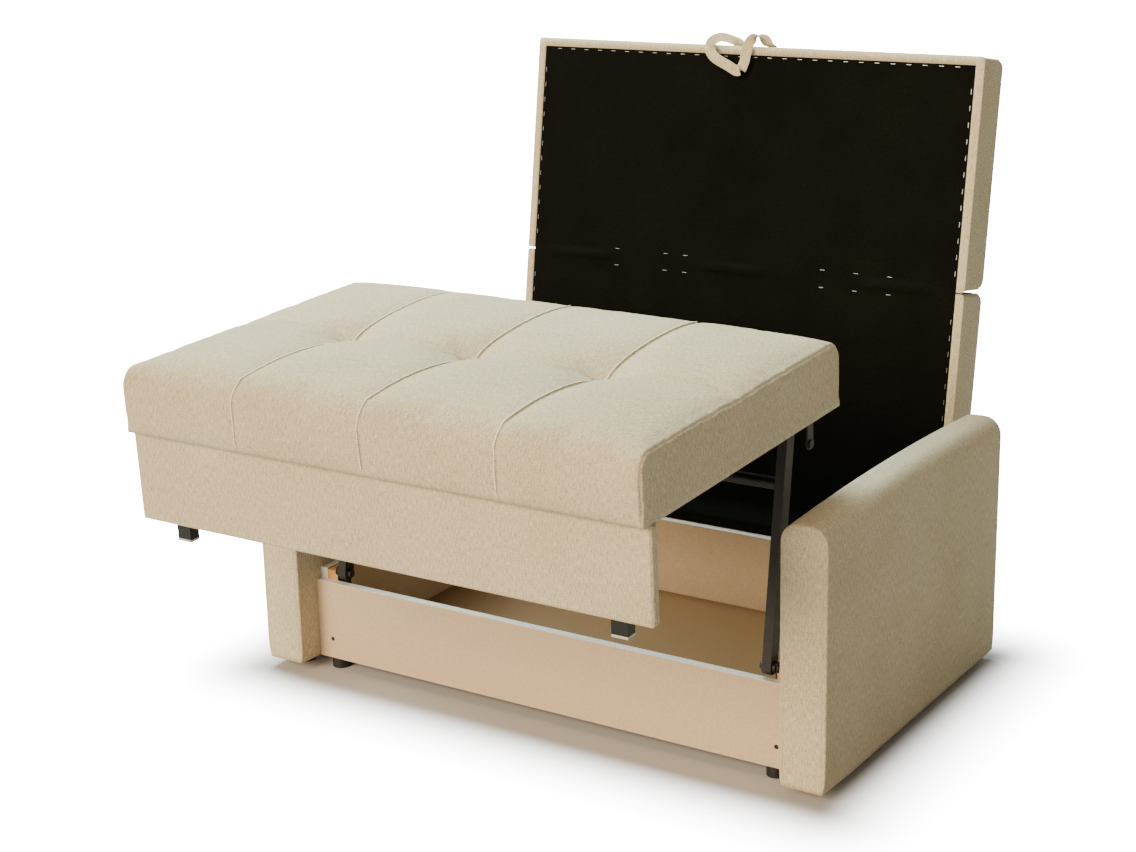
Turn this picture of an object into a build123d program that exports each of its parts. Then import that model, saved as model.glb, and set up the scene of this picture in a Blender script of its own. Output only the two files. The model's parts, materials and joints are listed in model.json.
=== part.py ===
from build123d import *
import os
from math import cos, radians, sin, sqrt

# Two-seat sofa bed, half open: the seat stands up on its swing levers over the storage box,
# and the two back slabs stand upright with their black undersides to the front.
# Millimetres. +X to the sitter's left, +Y to the rear, +Z up. Every piece is first placed with
# y = 0 at the front of the arms and x = 0 in the middle. At the end the whole sofa bed is moved
# along Y, so that the origin lies on the floor under the middle of its bounding box.

# Overall
sofa_width = 1400.0
arm_width = 100.0
arm_depth = 850.0
arm_height = 576.0
floor_gap = 22.0
overrun = 2.0
soft_gap = 0.4
running_gap = 0.05
inner_width = sofa_width - 2 * arm_width
inner_x = inner_width / 2

# Arms: a ladder frame between two hardboard skins, in a padded fabric cover
arm_padding = 18.0
arm_top_radius = 36.0
arm_crown = 12.0
arm_corner = 16.0
arm_skin = 3.2
arm_rail = 45.0
arm_posts = 4
glide_radius = 21.0
glide_inset = 70.0

# Storage box
board = 18.0
box_setback = 64.0
box_depth = 731.0
front_board_height = 182.0
back_board_height = 192.0
side_board_height = 207.0
edge_band = 1.0
box_floor = 4.0
floor_groove = 6.0
block_width = 28.0
block_depth = 42.0
rear_block_height = 70.0
screw_radius = 3.5
screw_head = 2.0
screw_head_radius = 5.0
screw_inset = 8.0
screw_length = 50.0
screw_low = 46.0
screw_pitch = 26.0
tie_bolt_shares = (0.25, 0.75)
bracket_screw_shares = (0.25, 0.75)
box_front_y = box_setback
box_rear_y = box_setback + box_depth
box_inner_x = inner_x - board
front_board_top = floor_gap + front_board_height
back_board_top = floor_gap + back_board_height
side_board_top = floor_gap + side_board_height
box_floor_z = floor_gap + floor_groove

# Swing levers: rectangular steel tube, one on each side, joined by a round cross tube
lever_length = 493.0
lever_width = 20.0
lever_depth = 30.0
lever_wall = 2.0
lever_chamfer = 8.0
lever_rest_lean = 8.0
lever_over_board = 6.0
lever_side_gap = 38.5
cross_tube_radius = 12.5
cross_tube_share = 0.74
pivot_bolt_radius = 5.0
bolt_head_radius = 9.0
bolt_head = 6.0
washer = 2.0
washer_radius = 11.0
lever_setback = 24.0
bracket_plate = 4.0
bracket_height = 76.0
bracket_under_lever = 4.0
block_over_board = 22.0
lever_x = inner_x - board - lever_side_gap - lever_width / 2
lever_outer_x = lever_x + lever_width / 2
lever_inner_x = lever_x - lever_width / 2
plate_inner_x = inner_x - board - block_width - bracket_plate
base_pivot_y = box_setback + lever_setback
base_pivot_z = front_board_top + lever_depth / 2 + lever_over_board

# Seat: wooden frame, hardboard deck, tufted foam cushion, padded apron and two front legs
seat_side_gap = 6.0
seat_depth = 750.0
seat_height = 131.0
seat_tilt = 2.45
seat_pivot_from_rear = 109.0
seat_over_pivot = 6.0
seat_wrap = 20.0
seat_columns = 4
seat_row_shares = (0.0, 0.466, 1.0)
seat_corner = 34.0
seat_crown = 13.0
seat_seam_drop = 10.0
seat_row_drop = 6.0
seat_tuft_drop = 26.0
seat_end_drop = 9.0
seat_draw_in = 5.0
lining = 1.0
frame_rail = 34.0
frame_rail_width = 20.0
seat_front_rail_width = 52.0
seat_bar_raise = 10.0
lever_slot_gap = 3.0
deck = 3.0
seat_bar_shares = (-1.0, -0.5, 0.0, 0.5, 1.0)
slab_bar_shares = (-0.5, 0.0, 0.5)
seat_bracket_width = 46.0
seat_bracket_rise = 34.0
lug_reach = 56.0
lug_drop = 70.0
lug_width = 24.0
bolt_stud_radius = 4.0
apron_setback = 20.0
apron_height = 188.0
apron_board = 12.0
apron_padding = 6.0
apron_corner = 5.0
leg_width = 34.0
leg_depth = 25.0
leg_wall = 2.0
leg_inset = 72.0
leg_glide = 5.0
seat_width = inner_width - 2 * seat_side_gap
seat_pivot_depth = seat_depth - seat_pivot_from_rear
apron_width = inner_width - seat_side_gap
bolt_tip_x = lever_inner_x - washer - bolt_head
bracket_top = base_pivot_z + lever_depth / 2 - bracket_under_lever
seat_low_z = base_pivot_z + seat_over_pivot

# Back: two slabs on one continuous hinge plane, their black undersides to the front at rest
slab_side_gap = 22.0
slab_thickness = 130.0
slab_lean = 8.5
lower_slab_length = 575.0
upper_slab_length = 515.0
slab_wrap = 20.0
slab_corner = 26.0
slab_crown = 12.0
slab_end_drop = 8.0
slab_draw_in = 6.0
slab_face_gap = 1.2
slab_end_gap = 1.5
back_over_lever = 5.0
hinge_radius = 4.0
hinge_pin_radius = 1.5
hinge_length = 60.0
hinge_leaf = 2.0
hinge_leaf_reach = 38.0
hinge_shares = (-0.36, 0.0, 0.36)
mortise_gap = 0.6
back_pivot_behind_box = 30.0
rear_rail_height = 120.0
lining_notch = 6.5
slab_row_shares = (0.0, 1.0)
slab_width = inner_width - 2 * slab_side_gap
back_pivot_y = box_rear_y + back_pivot_behind_box
back_pivot_z = base_pivot_z + lever_depth / 2 + back_over_lever

# Staples along the lining's edge, and the rows beside the fold
staple_width = 11.0
staple_wire = 1.1
staple_rise = 0.6
staple_pitch = 36.0
staple_margin = 5.0
fold_staple_offset = 20.0
fold_staple_shares = (-0.275, -0.158, -0.111, 0.2, 0.273, 0.345)

# Pull strap on the upper slab's far end
strap_width = 20.0
strap_thickness = 3.0
strap_span = 86.0
strap_rise = 18.0
strap_from_face = 9.0


def box_between(low, high):
    """A box from its lowest to its highest corner."""
    size = [b - a for a, b in zip(low, high)]
    centre = [(a + b) / 2 for a, b in zip(low, high)]
    return Pos(*centre) * Box(*size)


def rod(radius, x_from, x_to, y=0.0, z=0.0):
    """A round bar along X."""
    return Pos((x_from + x_to) / 2, y, z) * Rot(0, 90, 0) * Cylinder(radius, abs(x_to - x_from))


def both_sides(shape):
    """A shape on the +X side and its mirror image on the -X side."""
    return [shape, mirror(shape, about=Plane.YZ)]


def spread(count, length):
    """Places of a row of copies, evenly spaced and centred on zero."""
    return [length * (i / (count - 1) - 0.5) for i in range(count)]


def drilled(shape, *cutters):
    """The shape less each tool in the lists of cutters."""
    for cutter in cutters:
        for tool in cutter:
            shape = shape - tool
    return shape


# The seat's and the slabs' own frames
lean_y, lean_z = sin(radians(slab_lean)), cos(radians(slab_lean))
seat_pivot_y = base_pivot_y + lever_length * sin(radians(lever_rest_lean))
seat_pivot_z = base_pivot_z + lever_length * cos(radians(lever_rest_lean))
tilt_c, tilt_s = cos(radians(seat_tilt)), sin(radians(seat_tilt))
seat_origin_y = seat_pivot_y - seat_pivot_depth * tilt_c - seat_over_pivot * tilt_s
seat_origin_z = seat_pivot_z - seat_pivot_depth * tilt_s + seat_over_pivot * tilt_c
fold_y = back_pivot_y + lower_slab_length * lean_y
fold_z = back_pivot_z + lower_slab_length * lean_z


def on_seat(shape):
    """Seat frame: y runs back from the cushion's front, z up from its lower face."""
    return Pos(0, seat_origin_y, seat_origin_z) * Rot(seat_tilt, 0, 0) * shape


def on_lower_slab(shape):
    """Lower slab's frame: z runs up along the slab from its pivot, y back from its black face."""
    return Pos(0, back_pivot_y, back_pivot_z) * Rot(-slab_lean, 0, 0) * shape


def on_upper_slab(shape):
    """Upper slab's frame: z runs up along the slab from the fold, y back from its black face."""
    return Pos(0, fold_y, fold_z) * Rot(-slab_lean, 0, 0) * shape


def on_lever(shape):
    """Lever frame: z runs up the lever from its lower pivot."""
    return Pos(0, base_pivot_y, base_pivot_z) * Rot(-lever_rest_lean, 0, 0) * shape


lay_up = Plane(origin=(0, 0, 0), x_dir=(-1, 0, 0), z_dir=(0, 1, 0)).location

# Arms


def arm_body(grow, top_radius, crown):
    """The arm's outer form, or the same form drawn in by a negative grow."""
    x_low, x_high = inner_x - grow, inner_x + arm_width + grow
    y_low, y_high = -grow, arm_depth + grow
    z_low, z_high = floor_gap - grow, arm_height + grow
    front = Pos((x_low + x_high) / 2, 0, (z_low + z_high) / 2) * Rot(90, 0, 0) * extrude(
        RectangleRounded(x_high - x_low, z_high - z_low, top_radius), -(y_high + overrun)
    )
    square_foot = box_between((x_low, 0, z_low), (x_high, y_high + overrun, z_low + 2 * top_radius))
    top_mid = (0, (y_low + y_high) / 2, z_high)
    side = make_face(
        [
            Line((0, y_low, z_low), (0, y_low, z_high - crown)),
            ThreePointArc((0, y_low, z_high - crown), top_mid, (0, y_high, z_high - crown)),
            Line((0, y_high, z_high - crown), (0, y_high, z_low)),
            Line((0, y_high, z_low), (0, y_low, z_low)),
        ]
    )
    slice_of_side = Pos(x_low, 0, 0) * extrude(side, x_high - x_low, dir=(1, 0, 0))
    return (front + square_foot) & slice_of_side


def arm_core_box(shrink):
    """The block that the arm's wooden core fills, drawn in all round."""
    inset = arm_padding + shrink
    return (
        (inner_x + inset, inset, floor_gap),
        (inner_x + arm_width - inset, arm_depth - inset, arm_height - arm_crown - arm_top_radius - shrink),
    )


def arm_pieces():
    """Ladder frame, two skins and the padded cover of one arm."""
    low, high = arm_core_box(0)
    cover = arm_body(0, arm_top_radius, arm_crown)
    rims = cover.edges().filter_by(Axis.X).sort_by(Axis.Z)[-2:]
    cover = fillet(rims, arm_corner)
    cover = cover - box_between((low[0], low[1], low[2] - overrun), high)
    skin_low = box_between(low, (low[0] + arm_skin, high[1], high[2]))
    skin_high = box_between((high[0] - arm_skin, low[1], low[2]), high)
    x_low, x_high = low[0] + arm_skin, high[0] - arm_skin
    rails = [
        box_between((x_low, low[1], low[2]), (x_high, high[1], low[2] + arm_rail)),
        box_between((x_low, low[1], high[2] - arm_rail), (x_high, high[1], high[2])),
    ]
    posts_y = [low[1] + (high[1] - low[1] - arm_rail) * i / (arm_posts - 1) for i in range(arm_posts)]
    posts = [
        box_between((x_low, y, low[2] + arm_rail), (x_high, y + arm_rail, high[2] - arm_rail)) for y in posts_y
    ]
    return rails + posts, [skin_low, skin_high], cover


def glides():
    """Round plastic glides under the arms."""
    arm_mid_x = inner_x + arm_width / 2
    one = Pos(0, 0, floor_gap / 2) * Cylinder(glide_radius, floor_gap)
    places = [(x, y) for x in (arm_mid_x, -arm_mid_x) for y in (glide_inset, arm_depth - glide_inset)]
    return [Pos(x, y, 0) * one for x, y in places]


def box_glides():
    """Round plastic glides under the storage box's corners."""
    one = Pos(0, 0, floor_gap / 2) * Cylinder(glide_radius, floor_gap)
    x = box_inner_x - block_width
    front_y, rear_y = box_front_y + board, box_rear_y - board
    return [Pos(sx * x, y, 0) * one for sx in (1, -1) for y in (front_y, rear_y)]


# Storage box


def banded_board(low, high, top):
    """A chipboard panel and the white edge band on its top edge."""
    panel = box_between(low, (high[0], high[1], top - edge_band))
    band = box_between((low[0], low[1], top - edge_band), (high[0], high[1], top))
    return panel, band


def storage_box():
    """Front, back and side boards with their edge bands, the floor and the corner blocks."""
    front, front_band = banded_board(
        (-inner_x, box_front_y, floor_gap), (inner_x, box_front_y + board, 0), front_board_top
    )
    back, back_band = banded_board((-inner_x, box_rear_y - board, floor_gap), (inner_x, box_rear_y, 0), back_board_top)
    side_y, side_end = box_front_y + board, box_rear_y - board
    side, side_band = banded_board(
        (box_inner_x, side_y + edge_band, floor_gap), (inner_x, side_end, 0), side_board_top
    )
    end_band = box_between((box_inner_x, side_y, floor_gap), (inner_x, side_y + edge_band, side_board_top))
    floor = box_between((-box_inner_x, side_y, box_floor_z), (box_inner_x, side_end, box_floor_z + box_floor))
    block_low = box_floor_z + box_floor
    front_block = box_between(
        (box_inner_x - block_width, side_y, block_low),
        (box_inner_x, side_y + block_depth, front_board_top + block_over_board),
    )
    rear_block = box_between(
        (box_inner_x - block_width, side_end - block_depth, block_low),
        (box_inner_x, side_end, block_low + rear_block_height),
    )
    bands = [front_band, back_band] + both_sides(side_band) + both_sides(end_band)
    blocks = both_sides(front_block) + both_sides(rear_block)
    return front, back, side, floor, bands, blocks


def countersunk_screw(length):
    """A screw along +Y, its flat head flush with y = 0."""
    head = Pos(0, screw_head / 2, 0) * Rot(-90, 0, 0) * Cone(screw_head_radius, screw_radius, screw_head)
    shank = Pos(0, length / 2, 0) * Rot(90, 0, 0) * Cylinder(screw_radius, length)
    return head + shank


def box_screws():
    """Screws through the front and back boards into the corner blocks."""
    front_z = [floor_gap + screw_low]
    rear_z = [floor_gap + screw_low, floor_gap + screw_low + screw_pitch]
    x = box_inner_x - block_width + screw_inset
    screw = countersunk_screw(board + block_depth / 2)
    front = [Pos(sx * x, box_front_y, z) * screw for sx in (1, -1) for z in front_z]
    rear = [Pos(sx * x, box_rear_y, z) * Rot(0, 0, 180) * screw for sx in (1, -1) for z in rear_z]
    return front + rear


def arm_bolts():
    """Bolts that tie the box's side boards to the arms' frames, heads inside the box."""
    arm_low, arm_high = arm_core_box(0)
    tip_x = arm_low[0] + arm_skin + arm_rail / 2
    z = (floor_gap + arm_low[2] + arm_rail) / 2
    bolts = []
    for share in tie_bolt_shares:
        y = arm_low[1] + (arm_high[1] - arm_low[1]) * share
        head = rod(bolt_head_radius, box_inner_x - bolt_head / 2, box_inner_x, y, z)
        bolts += both_sides(head + rod(bolt_stud_radius, box_inner_x, tip_x, y, z))
    return bolts


# Swing levers


def pivot_bolt(z):
    """One pivot bolt through lever and bracket plate, with its head on the lever's inner side."""
    head_x = lever_inner_x - washer
    head = Pos(head_x - bolt_head / 2, 0, z) * Rot(0, 90, 0) * extrude(
        RegularPolygon(bolt_head_radius, 6), bolt_head / 2, both=True
    )
    end_x = plate_inner_x + bracket_plate + running_gap
    nut = rod(bolt_head_radius, end_x, end_x + bolt_head / 2, 0, z)
    return head + rod(pivot_bolt_radius, head_x, end_x, 0, z) + nut


def nut_rooms(y, z):
    """Room for a pivot bolt's nut beside its bracket plate, on both sides of the sofa bed."""
    nut_end = plate_inner_x + bracket_plate + bolt_head / 2 + 2 * mortise_gap
    return both_sides(rod(bolt_head_radius + mortise_gap, plate_inner_x, nut_end, y, z))


def washers(z):
    """Nylon washers on both sides of the lever at one pivot."""
    hole_radius = pivot_bolt_radius + running_gap
    inner = rod(washer_radius, lever_inner_x - washer + running_gap, lever_inner_x, 0, z)
    outer = rod(washer_radius, lever_outer_x, plate_inner_x - running_gap, 0, z)
    hole = rod(hole_radius, lever_inner_x - washer - overrun, plate_inner_x + overrun, 0, z)
    return [inner - hole, outer - hole]


def lever_outline(half_depth, reach, chamfer):
    """A long octagon in the lever's swing plane: a bar with its four corners cut off."""
    low, high = -reach, lever_length + reach
    one_half = [
        (half_depth - chamfer, low),
        (half_depth, low + chamfer),
        (half_depth, high - chamfer),
        (half_depth - chamfer, high),
    ]
    corners = one_half + [(-y, z) for y, z in reversed(one_half)]
    return Wire.make_polygon([(0, y, z) for y, z in corners], close=True)


def lever():
    """One lever: rectangular tube with closed, chamfered ends, cross-drilled for its two bolts."""
    half = lever_depth / 2
    solid = extrude(make_face(lever_outline(half, half, lever_chamfer)), lever_width, dir=(1, 0, 0))
    inner_half = half - lever_wall
    bore_width = lever_width - 2 * lever_wall
    bore = extrude(make_face(lever_outline(inner_half, inner_half, lever_chamfer)), bore_width, dir=(1, 0, 0))
    tube = Pos(lever_inner_x, 0, 0) * solid - Pos(lever_inner_x + lever_wall, 0, 0) * bore
    for z in (0, lever_length):
        tube = tube - rod(
            pivot_bolt_radius + running_gap, lever_inner_x - overrun, lever_outer_x + overrun, 0, z
        )
    return tube


def cross_tube():
    """Round tube welded between the two levers, hollow."""
    z = lever_length * cross_tube_share
    tube = rod(cross_tube_radius, -lever_inner_x, lever_inner_x, 0, z)
    return tube - rod(cross_tube_radius - lever_wall, -lever_inner_x - overrun, lever_inner_x + overrun, 0, z)


def base_bracket():
    """Steel plate on a corner block, bored for the lower pivot bolt."""
    low_y = box_front_y + board
    plate = box_between(
        (plate_inner_x, low_y, bracket_top - bracket_height),
        (plate_inner_x + bracket_plate, low_y + block_depth, bracket_top),
    )
    x_from, x_to = plate_inner_x - overrun, plate_inner_x + bracket_plate + overrun
    hole = rod(pivot_bolt_radius + running_gap, x_from, x_to, base_pivot_y, base_pivot_z)
    return plate - hole


def base_bracket_screws():
    """Round-headed screws that hold the base brackets on their blocks."""
    z = bracket_top - bracket_height + 2 * bolt_head_radius
    tip_x = plate_inner_x + bracket_plate + block_width / 2
    screws = []
    for share in bracket_screw_shares:
        y = box_front_y + board + block_depth * share
        head = rod(2 * screw_radius, plate_inner_x - screw_head, plate_inner_x, y, z)
        screws += both_sides(head + rod(screw_radius, plate_inner_x, tip_x, y, z))
    return screws


# Cushions


def section(x, depth, height, corner, inset, tops):
    """A closed outline at one x: flat foot, two upright sides, rounded edges and crowned top.

    tops lists the top's points from front to rear as (y, z), each second one an arc's middle.
    """
    front, rear = inset, depth - inset
    bend = corner * (1 - sqrt(0.5))
    edge = height - corner
    first, last = tops[0], tops[-1]
    edges = [
        Line((x, front, 0), (x, front, edge)),
        ThreePointArc((x, front, edge), (x, front + bend, height - bend), (x, *first)),
    ]
    for i in range(0, len(tops) - 1, 2):
        edges.append(ThreePointArc((x, *tops[i]), (x, *tops[i + 1]), (x, *tops[i + 2])))
    edges += [
        ThreePointArc((x, *last), (x, rear - bend, height - bend), (x, rear, edge)),
        Line((x, rear, edge), (x, rear, 0)),
        Line((x, rear, 0), (x, front, 0)),
    ]
    return Wire(edges)


def top_points(depth, height, corner, inset, row_shares, crown, valley):
    """The crowned top's points: an arc over each row, and a valley of that depth between rows."""
    front, rear = inset + corner, depth - inset - corner
    seams = [front + (rear - front) * share for share in row_shares]
    points = [(front, height)]
    for i in range(len(seams) - 1):
        far_z = height if i == len(seams) - 2 else height + crown - valley
        points.append(((seams[i] + seams[i + 1]) / 2, height + crown))
        points.append((seams[i + 1], far_z))
    return points


def cushion(width, depth, height, columns, row_shares, corner, crown, drops, draw_in):
    """A crowned cushion, x centred, y and z from 0. drops: seam, row, tuft and end drop."""
    seam_drop, row_drop, tuft_drop, end_drop = drops
    whole = None
    pitch = width / columns

    def at(x, kind):
        inset = draw_in if kind == "end" else 0
        edge = height - (end_drop if kind == "end" else 0)
        rise = {"middle": crown, "seam": crown - seam_drop, "end": crown / 2}[kind]
        valley = {"middle": row_drop, "seam": tuft_drop, "end": row_drop}[kind]
        return section(
            x, depth, edge, corner, inset, top_points(depth, edge, corner, inset, row_shares, rise, valley)
        )

    for i in range(columns):
        x_from = -width / 2 + i * pitch
        kinds = ("end" if i == 0 else "seam", "middle", "end" if i == columns - 1 else "seam")
        places = (x_from, x_from + pitch / 2, x_from + pitch)
        column = Solid.make_loft([at(x, kind) for x, kind in zip(places, kinds)])
        whole = column if whole is None else whole + column
    return whole


def rail_frame(width, length, bar_places, front_rail, z_from, bar_raise):
    """A wooden frame of separate rails, y from 0: two along X, two side rails and raised bars."""
    x = width / 2
    z_to = z_from + frame_rail
    rear_y = length - frame_rail_width
    half_bar = frame_rail_width / 2
    rails = [
        box_between((-x, 0, z_from), (x, front_rail, z_to)),
        box_between((-x, rear_y, z_from), (x, length, z_to)),
    ]
    sides = [(half_bar - x, 0), (x - half_bar, 0)]
    for centre, raised in sides + [(place, bar_raise) for place in bar_places]:
        low = (centre - half_bar, front_rail, z_from + raised)
        rails.append(box_between(low, (centre + half_bar, rear_y, z_to)))
    return rails


# Seat


def seat_pieces():
    """Cushion, frame, deck and lining of the seat, in the seat's own frame."""
    frame_width = seat_width - 2 * seat_wrap
    frame_length = seat_depth - 2 * seat_wrap
    pad = cushion(
        seat_width,
        seat_depth,
        seat_height,
        seat_columns,
        seat_row_shares,
        seat_corner,
        seat_crown,
        (seat_seam_drop, seat_row_drop, seat_tuft_drop, seat_end_drop),
        seat_draw_in,
    )
    deck_top = frame_rail + deck
    pocket = box_between(
        (-frame_width / 2 - soft_gap, seat_wrap - soft_gap, -overrun),
        (frame_width / 2 + soft_gap, seat_depth - seat_wrap + soft_gap, deck_top + soft_gap),
    )
    shift = Pos(0, seat_wrap, 0)
    cloth_x = bolt_tip_x - screw_head
    outer_bar = cloth_x - frame_rail_width / 2
    bar_places = [outer_bar * share for share in seat_bar_shares]
    rails = rail_frame(frame_width, frame_length, bar_places, seat_front_rail_width, 0, seat_bar_raise)
    slots = []
    slot_top = lever_depth / 2 - seat_over_pivot + lever_slot_gap
    for x in (lever_x, -lever_x):
        half = lever_width / 2 + lever_slot_gap
        low = (x - half, seat_depth - seat_wrap - frame_rail_width - overrun, -overrun)
        slots.append(box_between(low, (x + half, seat_depth + overrun, slot_top)))
    open_nut, closed_nut = seat_pivot_depth, seat_pivot_depth - lever_length
    rooms = nut_rooms(open_nut, -seat_over_pivot) + nut_rooms(closed_nut, -seat_over_pivot)
    rails = [drilled(shift * rail, slots, rooms) for rail in rails]
    panel = shift * box_between((-frame_width / 2, 0, frame_rail), (frame_width / 2, frame_length, deck_top))
    cloth_rear = seat_depth - seat_wrap - frame_rail_width
    cloth = box_between(
        (-cloth_x, seat_wrap + seat_front_rail_width, seat_bar_raise - lining), (cloth_x, cloth_rear, seat_bar_raise)
    )
    return drilled(pad - pocket, slots), rails, panel, cloth


def seat_bracket():
    """Steel plate on the seat frame's side rail: pivot ear at the lever, bolt lug behind it."""
    y, z = seat_pivot_depth, -seat_over_pivot
    half = seat_bracket_width / 2
    top = seat_bracket_rise
    plate = box_between(
        (plate_inner_x, y - half, z), (plate_inner_x + bracket_plate, y + lug_reach + lug_width / 2, top)
    )
    ear = rod(half, plate_inner_x, plate_inner_x + bracket_plate, y, z)
    lug_y, lug_z = y + lug_reach, -lug_drop
    lug = box_between(
        (plate_inner_x, lug_y - lug_width / 2, lug_z), (plate_inner_x + bracket_plate, lug_y + lug_width / 2, top)
    )
    lug_end = rod(lug_width / 2, plate_inner_x, plate_inner_x + bracket_plate, lug_y, lug_z)
    x_from, x_to = plate_inner_x - overrun, plate_inner_x + bracket_plate + overrun
    pivot_hole = rod(pivot_bolt_radius + running_gap, x_from, x_to, y, z)
    lug_hole = rod(bolt_stud_radius, x_from, x_to, lug_y, lug_z)
    return plate + ear + lug + lug_end - pivot_hole - lug_hole


def seat_bracket_bolts():
    """The lug's bolt and the screws that hold each bracket on its rail."""
    x_from, x_to = plate_inner_x, plate_inner_x + bracket_plate
    lug_y, lug_z = seat_pivot_depth + lug_reach, -lug_drop
    head = rod(bolt_head_radius, x_from - bolt_head / 2, x_from, lug_y, lug_z)
    stud = rod(bolt_stud_radius, x_from, x_to, lug_y, lug_z)
    nut = rod(bolt_head_radius, x_to, x_to + bolt_head / 2, lug_y, lug_z)
    bolts = both_sides(head + stud + nut)
    for offset in (0, lug_reach):
        y, z = seat_pivot_depth + offset, seat_bracket_rise - 2 * screw_radius - screw_head
        screw_cap = rod(2 * screw_radius, x_from - screw_head, x_from, y, z)
        bolts += both_sides(screw_cap + rod(screw_radius, x_from, x_to + frame_rail_width / 2, y, z))
    return bolts


def apron():
    """The apron's board and its padded cover, hanging under the seat's front edge."""
    width = apron_width
    y_from = apron_setback
    y_to = y_from + apron_board + 2 * apron_padding
    cover = box_between((-width / 2, y_from, -apron_height), (width / 2, y_to, 0))
    cover = fillet(cover.edges().filter_by(Axis.Z), apron_corner)
    cover = fillet(cover.faces().sort_by(Axis.Z)[0].edges(), apron_corner)
    inset = 2 * apron_padding
    low = (-width / 2 + inset, y_from + apron_padding, -apron_height + inset)
    high = (width / 2 - inset, y_to - apron_padding, 0)
    wood = box_between(low, high)
    return wood, cover - box_between(low, (high[0], high[1], high[2] + overrun))


def legs():
    """Two square tube legs behind the apron, and their pale glides, in the seat's frame."""
    y_from = apron_setback + apron_board + 2 * apron_padding
    x_mid = inner_x - leg_inset - leg_width / 2
    foot_z = -seat_low_z
    tubes, feet = [], []
    for sx in (1, -1):
        x_from, x_to = sx * x_mid - leg_width / 2, sx * x_mid + leg_width / 2
        outer = box_between((x_from, y_from, foot_z + leg_glide), (x_to, y_from + leg_depth, 0))
        bore = box_between(
            (x_from + leg_wall, y_from + leg_wall, foot_z + leg_glide - overrun),
            (x_to - leg_wall, y_from + leg_depth - leg_wall, -leg_wall),
        )
        tubes.append(outer - bore)
        foot = box_between((x_from, y_from, foot_z), (x_to, y_from + leg_depth, foot_z + leg_glide))
        feet.append(foot)
    return tubes, feet


# Back slabs and their hinges


def slab_cushion(length, wrap_far_end):
    """The slab's padding, in the slab's frame, open at the hinge end and wrapped at the sides."""
    pad_length = length - slab_end_gap - (0 if wrap_far_end else slab_end_gap)
    pad = cushion(
        slab_width,
        pad_length,
        slab_thickness - slab_face_gap,
        1,
        slab_row_shares,
        slab_corner,
        slab_crown,
        (0, 0, 0, slab_end_drop),
        slab_draw_in,
    )
    pocket_end = pad_length - slab_wrap + soft_gap if wrap_far_end else pad_length + overrun
    pocket_top = lining + frame_rail + deck + soft_gap
    half = slab_width / 2 - slab_wrap + soft_gap
    pocket = box_between((-half, -overrun, -overrun), (half, pocket_end, pocket_top))
    return Pos(0, slab_face_gap, slab_end_gap) * (lay_up * (pad - pocket))


def slab_inside(length, wrap_far_end):
    """Rails, deck and lining of a slab, in the slab's frame."""
    frame_width = slab_width - 2 * slab_wrap
    end = length - (slab_wrap if wrap_far_end else slab_end_gap)
    frame_length = end - slab_end_gap
    place = Pos(0, slab_face_gap, slab_end_gap) * lay_up
    bar_places = [frame_width * share / 2 for share in slab_bar_shares]
    rails = rail_frame(frame_width, frame_length, bar_places, frame_rail_width, lining, 0)
    rails = [place * r for r in rails]
    deck_from = lining + frame_rail
    panel = place * box_between((-frame_width / 2, 0, deck_from), (frame_width / 2, frame_length, deck_from + deck))
    near = lining_notch
    far = end if wrap_far_end else length - lining_notch
    cloth = box_between((-frame_width / 2, slab_face_gap, near), (frame_width / 2, slab_face_gap + lining, far))
    return rails, panel, cloth


def hinge_places():
    """The x of each hinge on a slab."""
    return [slab_width * share for share in hinge_shares]


def hinge_leaf_on(x, up, outer_thirds, z_axis):
    """A leaf along the slab's face with its share of the knuckle, axis at y = 0 and z = z_axis."""
    half = hinge_length / 2
    third = hinge_length / 6
    leaf_from = slab_face_gap + lining
    far = z_axis + up * hinge_leaf_reach
    low_z, high_z = sorted((z_axis, far))
    leaf = box_between((x - half, leaf_from, low_z), (x + half, leaf_from + hinge_leaf, high_z))
    clear = hinge_radius + running_gap
    if outer_thirds:
        leaf = leaf + rod(hinge_radius, x - half, x + half, 0, z_axis)
        leaf = leaf - rod(clear, x - third, x + third, 0, z_axis)
    else:
        leaf = leaf - rod(clear, x - half, x + half, 0, z_axis)
        leaf = leaf + rod(hinge_radius, x - third + running_gap, x + third - running_gap, 0, z_axis)
        leaf = leaf + box_between(
            (x - third + running_gap, leaf_from, low_z if up > 0 else z_axis - hinge_radius - overrun),
            (x + third - running_gap, leaf_from + hinge_leaf, z_axis + hinge_radius + overrun if up > 0 else high_z),
        )
    return leaf - rod(hinge_pin_radius + running_gap, x - half - overrun, x + half + overrun, 0, z_axis)


def hinge_pin(x, z_axis):
    """The pin of one hinge."""
    half = hinge_length / 2
    return rod(hinge_pin_radius, x - half, x + half, 0, z_axis)


def mortised(rails, z_axis, up):
    """Rails with room cut for the hinge leaves and knuckles at one end of the slab."""
    half = hinge_length / 2 + mortise_gap
    leaf_from = slab_face_gap + lining
    cutter = None
    for x in hinge_places():
        low_z, high_z = sorted((z_axis - up * overrun, z_axis + up * (hinge_leaf_reach + mortise_gap)))
        room = box_between((x - half, leaf_from - overrun, low_z), (x + half, leaf_from + hinge_leaf, high_z))
        room = room + rod(hinge_radius + mortise_gap, x - half, x + half, 0, z_axis)
        cutter = room if cutter is None else cutter + room
    return [rail - cutter for rail in rails]


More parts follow.
